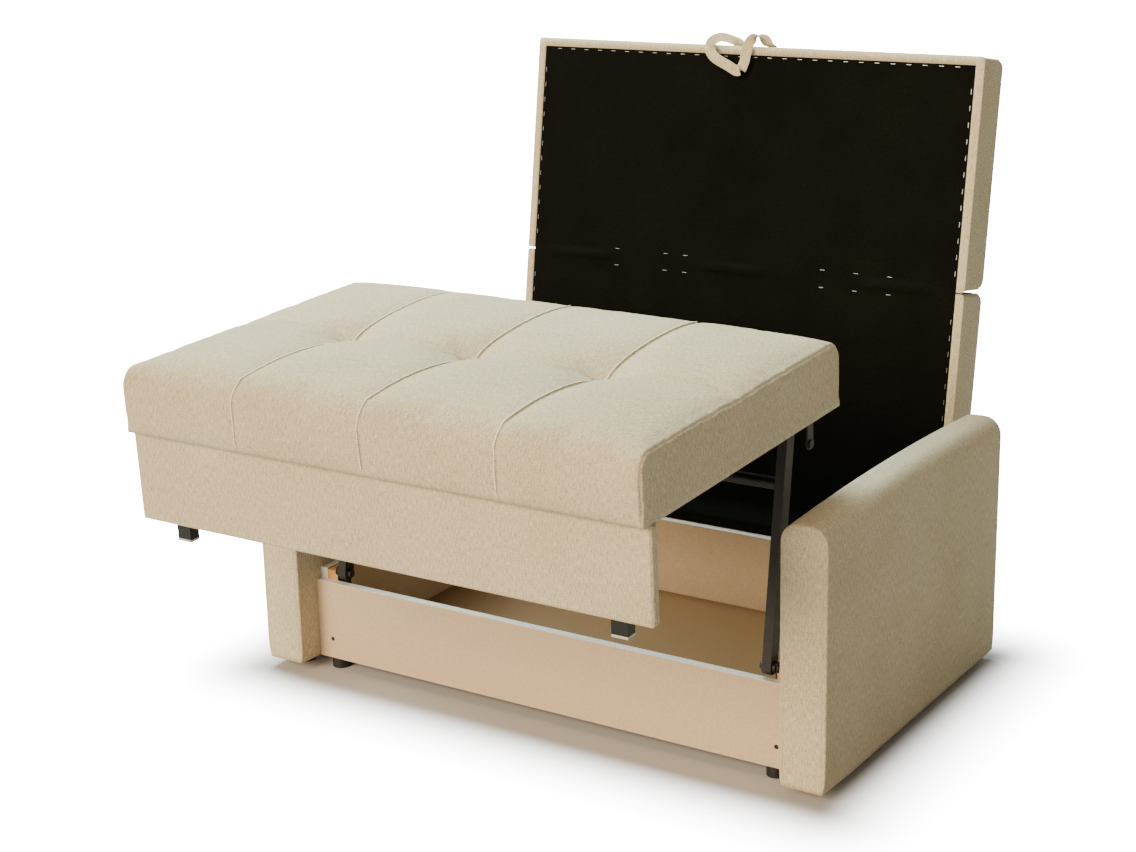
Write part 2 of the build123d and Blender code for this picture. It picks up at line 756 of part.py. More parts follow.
def rear_rail():
    """Wooden rail behind the back board that carries the fixed hinge leaves, mortised for them."""
    rear_y = back_pivot_y - slab_face_gap - lining
    half_x = slab_width / 2 - slab_wrap
    top = back_pivot_z - hinge_radius - mortise_gap
    rail = box_between((-half_x, box_rear_y, top - rear_rail_height), (half_x, rear_y, top))
    half = hinge_length / 2 + mortise_gap
    for x in hinge_places():
        rail = rail - box_between(
            (x - half, rear_y - hinge_leaf, back_pivot_z - hinge_leaf_reach - mortise_gap),
            (x + half, rear_y + overrun, top + overrun),
        )
    return rail


def fixed_leaves():
    """The base hinges' fixed leaves, behind the rear rail, each with the outer knuckles."""
    leaves = []
    for x in hinge_places():
        leaf = hinge_leaf_on(x, -1, True, 0.0)
        leaves.append(Pos(0, back_pivot_y, back_pivot_z) * mirror(leaf, about=Plane.XZ))
    return leaves


# Staples and strap


def staple(x, z, turned):
    """The crown of one staple on the lining."""
    along, across = (staple_wire, staple_width) if turned else (staple_width, staple_wire)
    low = (x - along / 2, slab_face_gap - staple_rise, z - across / 2)
    return box_between(low, (x + along / 2, slab_face_gap, z + across / 2))


def edge_staples(length, wrap_far_end):
    """Staples along a slab lining's two sides, and along its far end where that is an edge."""
    half = slab_width / 2 - slab_wrap - staple_margin
    end = length - (slab_wrap if wrap_far_end else lining_notch)
    count = int((end - lining_notch - 2 * staple_pitch) / staple_pitch)
    crowns = []
    for i in range(count + 1):
        z = lining_notch + staple_pitch * (i + 1)
        crowns += [staple(sx * half, z, True) for sx in (1, -1)]
    if wrap_far_end:
        across = int(2 * (half - staple_pitch) / staple_pitch)
        crowns += [staple(x, end - staple_margin, False) for x in spread(across, 2 * (half - staple_pitch))]
    return crowns


def fold_staples(z):
    """The short rows of staples beside the fold."""
    return [staple(slab_width * share, z, False) for share in fold_staple_shares]


def pull_strap():
    """A band sewn to the far end of the upper slab, bowed up between its two ends."""
    half = strap_span / 2
    foot_z = upper_slab_length

    def bow(reach, rise):
        return ThreePointArc((-reach, 0, foot_z), (0, 0, foot_z + rise), (reach, 0, foot_z))

    outer = bow(half, strap_rise)
    inner = bow(half - strap_thickness, strap_rise - strap_thickness)
    feet = [
        Line((half, 0, foot_z), (half - strap_thickness, 0, foot_z)),
        Line((-half, 0, foot_z), (-half + strap_thickness, 0, foot_z)),
    ]
    band = extrude(make_face([outer, inner] + feet), strap_width, dir=(0, 1, 0))
    return Pos(0, strap_from_face, 0) * band


# Assembly

nodes = {}


def add(name, *shapes):
    """Keeps a node's solids under its name."""
    nodes[name] = list(shapes)


arm_rails, arm_skins, arm_cover = arm_pieces()
for name, solids in {"arm_frame": arm_rails, "arm_skins": arm_skins, "arm_cover": [arm_cover]}.items():
    add("left_" + name, *solids)
    add("right_" + name, *[mirror(s, about=Plane.YZ) for s in solids])
add("arm_glides", *glides())

front_board, back_board, side_board, box_floor_panel, bands, blocks = storage_box()
screws, tie_bolts, plate_screws = box_screws(), arm_bolts(), base_bracket_screws()


add("box_front_board", drilled(front_board, screws))
add("box_back_board", drilled(back_board, screws))
add("box_left_side", drilled(side_board, tie_bolts))
add("box_right_side", mirror(drilled(side_board, tie_bolts), about=Plane.YZ))
add("box_floor_panel", box_floor_panel)
add("box_edge_bands", *bands)
nuts = nut_rooms(base_pivot_y, base_pivot_z)
add("corner_blocks", *[drilled(b, screws, plate_screws, nuts) for b in blocks])
add("box_screws", *screws)
add("box_glides", *box_glides())
add("arm_tie_bolts", *tie_bolts)
for side in ("left_", "right_"):
    for part in ("arm_frame", "arm_skins", "arm_cover"):
        nodes[side + part] = [drilled(s, tie_bolts) for s in nodes[side + part]]
bracket = drilled(base_bracket(), plate_screws)
add("left_base_bracket", bracket)
add("right_base_bracket", mirror(bracket, about=Plane.YZ))
add("base_bracket_screws", *plate_screws)
add("rear_rail", rear_rail())
add("base_hinge_leaves", *fixed_leaves())
add("base_hinge_pins", *[Pos(0, back_pivot_y, back_pivot_z) * hinge_pin(x, 0.0) for x in hinge_places()])

add("lower_pivot_bolts", *[on_lever(s) for s in both_sides(pivot_bolt(0))])
add("upper_pivot_bolts", *[on_lever(s) for s in both_sides(pivot_bolt(lever_length))])
one_lever = lever()
add("left_lever", on_lever(one_lever))
add("right_lever", on_lever(mirror(one_lever, about=Plane.YZ)))
add("lever_cross_tube", on_lever(cross_tube()))
lever_washers = [w for z in (0, lever_length) for w in washers(z)]
add("lever_washers", *[on_lever(s) for w in lever_washers for s in both_sides(w)])

seat_pad, seat_rails, seat_deck, seat_cloth = seat_pieces()
seat_bolts = seat_bracket_bolts()
leg_tubes, leg_feet = legs()
apron_wood, apron_cover = apron()
seat_plate = drilled(seat_bracket(), seat_bolts)
add("seat_cushion", on_seat(seat_pad))
add("seat_frame", *[on_seat(drilled(rail, seat_bolts)) for rail in seat_rails])
add("seat_deck", on_seat(seat_deck))
add("seat_lining", on_seat(seat_cloth))
add("left_seat_bracket", on_seat(seat_plate))
add("right_seat_bracket", on_seat(mirror(seat_plate, about=Plane.YZ)))
add("seat_bracket_bolts", *[on_seat(b) for b in seat_bolts])
add("apron_board", on_seat(apron_wood))
add("apron_cover", on_seat(apron_cover))
add("seat_legs", *[on_seat(t) for t in leg_tubes])
add("seat_leg_glides", *[on_seat(f) for f in leg_feet])

rails, panel, cloth = slab_inside(lower_slab_length, False)
rails = mortised(mortised(rails, 0.0, 1), lower_slab_length, -1)
add("lower_slab_cushion", on_lower_slab(slab_cushion(lower_slab_length, False)))
add("lower_slab_frame", *[on_lower_slab(r) for r in rails])
add("lower_slab_deck", on_lower_slab(panel))
add("lower_slab_lining", on_lower_slab(cloth))
low_staples = edge_staples(lower_slab_length, False) + fold_staples(lower_slab_length - fold_staple_offset)
add("lower_slab_staples", *[on_lower_slab(s) for s in low_staples])
add("slab_base_hinge_leaves", *[on_lower_slab(hinge_leaf_on(x, 1, False, 0.0)) for x in hinge_places()])
add(
    "fold_hinge_lower_leaves",
    *[on_lower_slab(hinge_leaf_on(x, -1, True, lower_slab_length)) for x in hinge_places()],
)
add("fold_hinge_pins", *[on_lower_slab(hinge_pin(x, lower_slab_length)) for x in hinge_places()])

rails, panel, cloth = slab_inside(upper_slab_length, True)
add("upper_slab_cushion", on_upper_slab(slab_cushion(upper_slab_length, True)))
add("upper_slab_frame", *[on_upper_slab(r) for r in mortised(rails, 0.0, 1)])
add("upper_slab_deck", on_upper_slab(panel))
add("upper_slab_lining", on_upper_slab(cloth))
high_staples = edge_staples(upper_slab_length, True) + fold_staples(fold_staple_offset)
add("upper_slab_staples", *[on_upper_slab(s) for s in high_staples])
add("fold_hinge_upper_leaves", *[on_upper_slab(hinge_leaf_on(x, 1, False, 0.0)) for x in hinge_places()])
add("pull_strap", on_upper_slab(pull_strap()))

boxes = [shape.bounding_box() for shapes in nodes.values() for shape in shapes]
low_y, high_y = min(box.min.Y for box in boxes), max(box.max.Y for box in boxes)
shift_y = -(low_y + high_y) / 2

os.makedirs("parts", exist_ok=True)
for name, shapes in nodes.items():
    solids = [s for shape in shapes for s in (Pos(0, shift_y, 0) * shape).solids()]
    export_step(Compound(children=solids), "parts/" + name + ".step")

print("along y from", round(low_y, 3), "to", round(high_y, 3), "moved by", round(shift_y, 3))
for label, y, z in (
    ("lower lever pivot", base_pivot_y, base_pivot_z),
    ("upper lever pivot", seat_pivot_y, seat_pivot_z),
    ("back pivot", back_pivot_y, back_pivot_z),
    ("fold", fold_y, fold_z),
):
    print(label, "y", round(y + shift_y, 3), "z", round(z, 3))
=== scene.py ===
"""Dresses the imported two-seat sofa bed: sewn covers, black linings, stitching, boards and steel.

Lengths are metres. +X is the sitter's left, +Y the rear, +Z up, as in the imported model.
"""
import json
import logging
import math
from dataclasses import dataclass, field, replace
from enum import Enum
from typing import Callable, Iterable, Sequence

import bpy
import numpy as np
from mathutils import Matrix, Vector
from mathutils.kdtree import KDTree


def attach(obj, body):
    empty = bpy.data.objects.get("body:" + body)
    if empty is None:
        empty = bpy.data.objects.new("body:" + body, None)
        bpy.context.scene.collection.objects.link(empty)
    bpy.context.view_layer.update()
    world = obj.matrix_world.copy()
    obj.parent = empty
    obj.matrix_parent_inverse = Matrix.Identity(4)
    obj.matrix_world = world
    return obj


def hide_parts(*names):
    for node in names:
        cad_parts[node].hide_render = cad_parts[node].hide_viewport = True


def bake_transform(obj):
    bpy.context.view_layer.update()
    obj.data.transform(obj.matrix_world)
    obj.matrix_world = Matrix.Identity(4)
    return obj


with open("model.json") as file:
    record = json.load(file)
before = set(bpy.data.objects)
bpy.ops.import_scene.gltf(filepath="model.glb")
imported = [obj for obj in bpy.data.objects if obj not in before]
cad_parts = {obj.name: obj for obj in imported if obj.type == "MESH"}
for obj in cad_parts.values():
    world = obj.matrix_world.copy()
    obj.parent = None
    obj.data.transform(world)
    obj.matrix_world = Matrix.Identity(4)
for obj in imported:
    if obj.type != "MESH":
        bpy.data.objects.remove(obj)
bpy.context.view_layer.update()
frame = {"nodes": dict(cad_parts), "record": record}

LOG = logging.getLogger("sofa_bed")

PHOTO_WIDTH = 1136
SENSOR = 36.0
FOCAL_PIXELS = 2063.38
CAMERA_PLACE = Vector((2.2829, -3.5745, 1.8289))
CAMERA_YAW, CAMERA_PITCH, CAMERA_ROLL = 33.42, 16.33, -1.32

SEAT_COLUMN_SEAMS = (-0.302, 0.0, 0.302)
SEAT_ROW_SEAM = 0.352
FACE_GAP = 0.0012
END_GAP = 0.0015
LOWER_LENGTH, UPPER_LENGTH = 0.575, 0.515
SLAB_WIDTH = 1.156
KNUCKLE_RADIUS = 0.004
HINGE_X = (-0.41616, 0.0, 0.41616)

FOOT_BAND = 0.012  # the lowest part of a cover, which keeps its sewn shape
CREASE = 0.0002  # half the width of a sharp step in a cover's foot
POCKET_SKIN, RIM_SKIN = 0.004, 0.002
SIM_FRAMES = 20


class Body(Enum):
    """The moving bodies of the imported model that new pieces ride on."""

    BASE = "base"
    SEAT = "seat"
    UPPER_SLAB = "upper_slab"


class Slot(Enum):
    """The record's material slots."""

    UPHOLSTERY = "upholstery"
    LINING = "black_lining"
    CHIPBOARD = "chipboard"
    EDGING = "white_edging"
    HARDBOARD = "hardboard"
    WOOD = "solid_wood"
    STEEL = "black_steel"
    ZINC = "zinc_steel"
    BLACK_PLASTIC = "black_plastic"
    GREY_PLASTIC = "grey_plastic"


NODE_SLOTS = {entry["node"]: Slot(entry["material_slot"]) for entry in frame["record"]["subparts"]}


# Frames of the sub-assemblies


@dataclass(frozen=True)
class Stand:
    """Where a sub-assembly's own frame stands at rest, and how far it is turned about X."""

    y: float
    z: float
    turn: float

    def point(self, x: float, y: float, z: float) -> tuple[float, float, float]:
        """Gives the model's place of a point of this frame.

        Args:
            x: Place across the sofa.
            y: Place along the frame's own Y.
            z: Place along the frame's own Z.

        Returns:
            The same point in the model's frame.
        """
        c, s = math.cos(math.radians(self.turn)), math.sin(math.radians(self.turn))
        return x, self.y + y * c - z * s, self.z + y * s + z * c


SEAT_STAND = Stand(y=-0.79516, z=0.691795, turn=2.45)
LOWER_STAND = Stand(y=0.513899, z=0.245, turn=-8.5)
UPPER_STAND = Stand(y=0.598889, z=0.813684, turn=-8.5)


# Small helpers on Blender's operators


def deselect() -> None:
    """Leaves nothing selected and no object in edit mode."""
    if bpy.context.object is not None and bpy.context.object.mode != "OBJECT":
        bpy.ops.object.mode_set(mode="OBJECT")
    bpy.ops.object.select_all(action="DESELECT")


def activate(piece: bpy.types.Object) -> None:
    """Selects one object alone and makes it the active one."""
    deselect()
    piece.select_set(True)
    bpy.context.view_layer.objects.active = piece


def smooth(piece: bpy.types.Object, degrees: float = 40.0) -> None:
    """Shades a piece smooth, with sharp edges over an angle."""
    activate(piece)
    bpy.ops.object.shade_smooth_by_angle(angle=math.radians(degrees))


def apply_modifier(piece: bpy.types.Object, kind: str, **settings: object) -> None:
    """Adds a modifier with its settings and applies it.

    Args:
        piece: The object to change.
        kind: Blender's modifier type.
        settings: The modifier's attributes.
    """
    activate(piece)
    modifier = piece.modifiers.new(kind.title(), kind)
    for name, value in settings.items():
        setattr(modifier, name, value)
    bpy.ops.object.modifier_apply(modifier=modifier.name)


def coordinates(piece: bpy.types.Object) -> np.ndarray:
    """Reads a mesh's points as an array of rows."""
    flat = np.empty(len(piece.data.vertices) * 3)
    piece.data.vertices.foreach_get("co", flat)
    return flat.reshape(-1, 3)


def place_points(piece: bpy.types.Object, points: np.ndarray) -> None:
    """Writes a mesh's points from an array of rows."""
    piece.data.vertices.foreach_set("co", np.ascontiguousarray(points, dtype=float).ravel())
    piece.data.update()


def point_normals(piece: bpy.types.Object) -> np.ndarray:
    """Reads a mesh's smooth normals at its points."""
    flat = np.empty(len(piece.data.vertices) * 3)
    piece.data.vertex_normals.foreach_get("vector", flat)
    return flat.reshape(-1, 3)


def outward(piece: bpy.types.Object) -> None:
    """Turns all faces of a closed mesh outwards."""
    activate(piece)
    bpy.ops.object.mode_set(mode="EDIT")
    bpy.ops.mesh.select_all(action="SELECT")
    bpy.ops.mesh.normals_make_consistent(inside=False)
    bpy.ops.object.mode_set(mode="OBJECT")


def joined(name: str, parts: Sequence[bpy.types.Object], merge: float = 1e-6) -> bpy.types.Object:
    """Joins objects into one mesh and merges the points that they share.

    Args:
        name: The new piece's name.
        parts: The objects to join; the first keeps its object.
        merge: Distance under which points become one.

    Returns:
        The joined object.
    """
    activate(parts[0])
    for part in parts:
        part.select_set(True)
    if len(parts) > 1:
        bpy.ops.object.join()
    piece = bpy.context.view_layer.objects.active
    piece.name = piece.data.name = name
    bpy.ops.object.mode_set(mode="EDIT")
    bpy.ops.mesh.select_all(action="SELECT")
    bpy.ops.mesh.remove_doubles(threshold=merge)
    bpy.ops.object.mode_set(mode="OBJECT")
    return piece


def cloth_panel(points: np.ndarray, marks: np.ndarray) -> bpy.types.Object:
    """Lays one grid of cloth through rows of points.

    Args:
        points: Array (rows, columns, 3) of places.
        marks: Array (rows, columns, 2) of cloth coordinates in metres.

    Returns:
        The new grid, with its cloth coordinates as a UV map.
    """
    rows, columns = points.shape[:2]
    deselect()
    bpy.ops.mesh.primitive_grid_add(x_subdivisions=columns - 1, y_subdivisions=rows - 1, size=1.0)
    panel = bpy.context.object
    flat = coordinates(panel)
    column = np.rint((flat[:, 0] + 0.5) * (columns - 1)).astype(int)
    row = np.rint((flat[:, 1] + 0.5) * (rows - 1)).astype(int)
    place_points(panel, points[row, column])
    corner = np.empty(len(panel.data.loops), dtype=int)
    panel.data.loops.foreach_get("vertex_index", corner)
    panel.data.uv_layers[0].data.foreach_set("uv", marks[row[corner], column[corner]].ravel())
    return panel


# Finishes


def linear(code: str) -> tuple[float, float, float, float]:
    """Turns an sRGB hex code into a linear colour.

    Args:
        code: Six hex digits after a hash sign.

    Returns:
        Red, green, blue and alpha, linear.
    """
    channels = [int(code[i : i + 2], 16) / 255 for i in (1, 3, 5)]
    red, green, blue = [c / 12.92 if c <= 0.04045 else ((c + 0.055) / 1.055) ** 2.4 for c in channels]
    return red, green, blue, 1.0


def add_node(
    tree: bpy.types.NodeTree,
    kind: str,
    links: dict[str, bpy.types.NodeSocket] | None = None,
    stops: Sequence[tuple[float, str]] = (),
    **settings: object,
) -> bpy.types.Node:
    """Adds one node with its settings and links.

    Args:
        tree: The material's node tree.
        kind: Blender's node type name.
        links: Output sockets by the name or number of this node's input.
        stops: Places and hex colours, for a colour ramp alone.
        settings: Attributes, or the value of the input named after in_.

    Returns:
        The new node.
    """
    new = tree.nodes.new(kind)
    for name, value in settings.items():
        if name.startswith("in_"):
            key = name[3:]
            new.inputs[int(key) if key.isdigit() else key.replace("_", " ")].default_value = value
        else:
            setattr(new, name, value)
    for name, socket in (links or {}).items():
        tree.links.new(socket, new.inputs[int(name) if name.isdigit() else name])
    if stops:
        elements = new.color_ramp.elements
        while len(elements) < len(stops):
            elements.new(0.5)
        for element, (place, code) in zip(elements, stops):
            element.position = place
            element.color = linear(code)
    return new


def blank_material(name: str) -> tuple[bpy.types.Material, bpy.types.NodeTree, bpy.types.Node]:
    """Makes a material with its principled shader alone.

    Args:
        name: The material's name.

    Returns:
        The material, its tree and its shader node.
    """
    material = bpy.data.materials.new(name)
    material.use_nodes = True
    return material, material.node_tree, material.node_tree.nodes["Principled BSDF"]


@dataclass(frozen=True)
class WovenMelange:
    """Plain-woven polyester upholstery of mixed beige yarns: soft, dry, with a faint nap.

    The mixed yarns give short upright streaks; the weave itself is only just seen.
    """

    name: str = "woven_beige_melange"
    dark: str = "#B0A182"
    middle: str = "#C8BA9C"
    light: str = "#DCD0B6"
    thread: float = 0.0011  # real threads are near 0.5 mm; drawn twice as coarse to show
    wave_share: float = 0.314  # scale of Blender's bands that puts one band on each thread
    streak_width: float = 0.0024
    streak_length: float = 0.014
    weft_stretch: tuple[float, float] = (0.5, 0.9)
    weft_share: float = 0.8
    patch: float = 0.16
    patch_share: float = 0.25
    tones: tuple[float, float] = (0.66, 1.39)
    yarn_height: float = 0.35
    depth: float = 0.0002
    roughness: float = 0.9

    def make(self) -> bpy.types.Material:
        """Builds the material from its yarn sizes."""
        material, tree, shader = blank_material(self.name)
        place = add_node(tree, "ShaderNodeTexCoord").outputs
        cloth = {"Vector": place["UV"]}
        stretches = (
            (1 / self.streak_width, 1 / self.streak_length, 1),
            (self.weft_stretch[0] / self.streak_width, self.weft_stretch[1] / self.streak_width, 1),
        )
        laid = [add_node(tree, "ShaderNodeMapping", cloth, in_Scale=scale).outputs[0] for scale in stretches]
        warp, weft = [
            add_node(tree, "ShaderNodeTexNoise", {"Vector": way}, in_Scale=1.0, in_Detail=2.0) for way in laid
        ]
        links = {"0": weft.outputs[0], "2": warp.outputs[0]}
        yarns = add_node(tree, "ShaderNodeMath", links, in_1=self.weft_share, operation="MULTIPLY_ADD")
        links = {"Vector": place["Object"]}
        cloudy = add_node(tree, "ShaderNodeTexNoise", links, in_Scale=1 / self.patch, in_Detail=3.0)
        links = {"0": cloudy.outputs[0], "2": yarns.outputs[0]}
        faded = add_node(tree, "ShaderNodeMath", links, in_1=self.patch_share, operation="MULTIPLY_ADD")
        links = {"Value": faded.outputs[0]}
        low, high = self.tones
        tone = add_node(tree, "ShaderNodeMapRange", links, in_From_Min=low, in_From_Max=high)
        stops = ((0.15, self.dark), (0.5, self.middle), (0.85, self.light))
        colour = add_node(tree, "ShaderNodeValToRGB", {"Fac": tone.outputs[0]}, stops)
        tree.links.new(colour.outputs["Color"], shader.inputs["Base Color"])
        bands = {"in_Scale": self.wave_share / self.thread, "in_Distortion": 0.6, "in_Detail": 1.0}
        weave = [add_node(tree, "ShaderNodeTexWave", cloth, bands_direction=way, **bands) for way in ("X", "Y")]
        links = {"0": weave[0].outputs["Fac"], "1": weave[1].outputs["Fac"]}
        crossing = add_node(tree, "ShaderNodeMath", links, operation="MAXIMUM")
        links = {"0": yarns.outputs[0], "2": crossing.outputs[0]}
        height = add_node(tree, "ShaderNodeMath", links, in_1=self.yarn_height, operation="MULTIPLY_ADD")
        links = {"Height": height.outputs[0]}
        bump = add_node(tree, "ShaderNodeBump", links, in_Strength=0.2, in_Distance=self.depth)
        tree.links.new(bump.outputs[0], shader.inputs["Normal"])
        shader.inputs["Roughness"].default_value = self.roughness
        shader.inputs["Specular IOR Level"].default_value = 0.15
        shader.inputs["Sheen Weight"].default_value = 0.12
        shader.inputs["Sheen Roughness"].default_value = 0.4
        shader.inputs["Sheen Tint"].default_value = linear("#F1E7D6")
        return material


@dataclass(frozen=True)
class SpunLining:
    """Spun-bonded black polypropylene lining: matt, faintly pebbled by its bond points."""

    name: str = "spunbond_black_lining"
    deep: str = "#080905"
    raised: str = "#13140F"
    bond: float = 0.0022
    drift_scale: float = 7.0
    pebble: float = 0.0003

    def make(self) -> bpy.types.Material:
        """Builds the material from its bond spacing."""
        material, tree, shader = blank_material(self.name)
        place = {"Vector": add_node(tree, "ShaderNodeTexCoord").outputs["Object"]}
        cells = add_node(tree, "ShaderNodeTexVoronoi", place, in_Scale=1 / self.bond)
        drift = add_node(tree, "ShaderNodeTexNoise", place, in_Scale=self.drift_scale, in_Detail=4.0)
        links = {"0": cells.outputs[0], "1": drift.outputs[0]}
        tone = add_node(tree, "ShaderNodeMath", links, operation="MULTIPLY")
        stops = ((0.1, self.deep), (0.6, self.raised))
        colour = add_node(tree, "ShaderNodeValToRGB", {"Fac": tone.outputs[0]}, stops)
        tree.links.new(colour.outputs["Color"], shader.inputs["Base Color"])
        links = {"Height": cells.outputs[0]}
        bump = add_node(tree, "ShaderNodeBump", links, in_Strength=0.25, in_Distance=self.pebble)
        tree.links.new(bump.outputs[0], shader.inputs["Normal"])
        shader.inputs["Roughness"].default_value = 0.9
        shader.inputs["Specular IOR Level"].default_value = 0.06
        return material


@dataclass(frozen=True)
class Speckled:
    """A hard finish with two tones mixed in grains, and a fine bump of the same grain."""

    name: str
    base: str
    fleck: str
    grain: float
    roughness: float
    bump: float = 0.1
    depth: float = 0.0002
    metallic: float = 0.0
    stretch: tuple[float, float, float] = (1.0, 1.0, 1.0)
    spread: tuple[float, float] = (0.35, 0.7)
    wear: tuple[float, float] = (-0.06, 0.08)

    def make(self) -> bpy.types.Material:
        """Builds the material from its grain size."""
        material, tree, shader = blank_material(self.name)
        links = {"Vector": add_node(tree, "ShaderNodeTexCoord").outputs["Object"]}
        laid = add_node(tree, "ShaderNodeMapping", links, in_Scale=self.stretch)
        noise = {"in_Scale": 1 / self.grain, "in_Detail": 4.0, "in_Roughness": 0.6}
        grain = add_node(tree, "ShaderNodeTexNoise", {"Vector": laid.outputs[0]}, **noise).outputs[0]
        stops = ((self.spread[0], self.base), (self.spread[1], self.fleck))
        colour = add_node(tree, "ShaderNodeValToRGB", {"Fac": grain}, stops)
        tree.links.new(colour.outputs["Color"], shader.inputs["Base Color"])
        links = {"Height": grain}
        bump = add_node(tree, "ShaderNodeBump", links, in_Strength=self.bump, in_Distance=self.depth)
        tree.links.new(bump.outputs[0], shader.inputs["Normal"])
        low, high = (self.roughness + change for change in self.wear)
        worn = add_node(tree, "ShaderNodeMapRange", {"Value": grain}, in_To_Min=low, in_To_Max=high)
        tree.links.new(worn.outputs[0], shader.inputs["Roughness"])
        shader.inputs["Metallic"].default_value = self.metallic
        return material


FINISHES = {
    Slot.UPHOLSTERY: WovenMelange(),
    Slot.LINING: SpunLining(),
    # Pressed chips under a printed foil: warm sand colour, soft grains, a low gloss.
    Slot.CHIPBOARD: Speckled(
        "foiled_chipboard", "#C4AB8C", "#D1BBA0", 0.006, 0.5, bump=0.12, spread=(0.3, 0.72)
    ),
    # Extruded strip: plain white with a slight gloss, a thin bright line on the boards.
    Slot.EDGING: Speckled("abs_edge_band_white", "#E4E3E0", "#F0EFEC", 0.01, 0.35, bump=0.04),
    # Hot-pressed fibres: even brown with a dull shine.
    Slot.HARDBOARD: Speckled("hardboard_smooth_face", "#704F2B", "#8B673D", 0.004, 0.45, bump=0.15),
    # Planed wood: honey colour, its grain drawn out along the piece.
    Slot.WOOD: Speckled("planed_beech", "#B98547", "#D9A866", 0.004, 0.55, bump=0.2, stretch=(1.0, 1.0, 0.08)),
    # Sprayed and baked powder: near black, faintly textured, with broad soft highlights.
    Slot.STEEL: Speckled("powder_coated_steel_black", "#090909", "#111111", 0.0015, 0.5, bump=0.15),
    # Thin zinc on wire and screws: cool grey metal that mirrors softly.
    Slot.ZINC: Speckled("zinc_plated_steel", "#8F9192", "#A9ABAC", 0.002, 0.32, metallic=1.0),
    # Moulded plastic: black, satin, quite even.
    Slot.BLACK_PLASTIC: Speckled("moulded_polypropylene_black", "#0E0E0F", "#18181A", 0.002, 0.5),
    # Moulded plastic: pale grey and satin.
    Slot.GREY_PLASTIC: Speckled("moulded_polyamide_grey", "#B4B5B4", "#C6C7C6", 0.002, 0.45),
}
# Thick twisted thread: cream, a little brighter than the cloth that it lies on.
THREAD = Speckled("polyester_topstitch_thread", "#F6EED9", "#FFFBF0", 0.0008, 0.6, bump=0.2)


class Wardrobe:
    """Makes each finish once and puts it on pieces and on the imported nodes."""

    def __init__(self) -> None:
        """Builds every finish."""
        self.made = {slot: finish.make() for slot, finish in FINISHES.items()}
        self.thread = THREAD.make()

    def dress(self, piece: bpy.types.Object, slot: Slot, material: bpy.types.Material | None = None) -> None:
        """Puts one finish on a new piece: the slot's own, unless another is given.

        Args:
            piece: The new piece.
            slot: The record's slot.
            material: A finish other than the slot's own.
        """
        piece.data.materials.clear()
        piece.data.materials.append(material or self.made[slot])

    def dress_nodes(self) -> None:
        """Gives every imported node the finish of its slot."""
        for name, solid in frame["nodes"].items():
            for holder in solid.material_slots:
                holder.material = self.made[NODE_SLOTS[name]]


# Sewn covers


@dataclass(frozen=True)
class Seam:
    """A sewn line that pulls the cover in, or a ridge that stands out with a negative depth."""

    distance: Callable[[np.ndarray], np.ndarray]
    depth: float
    width: float


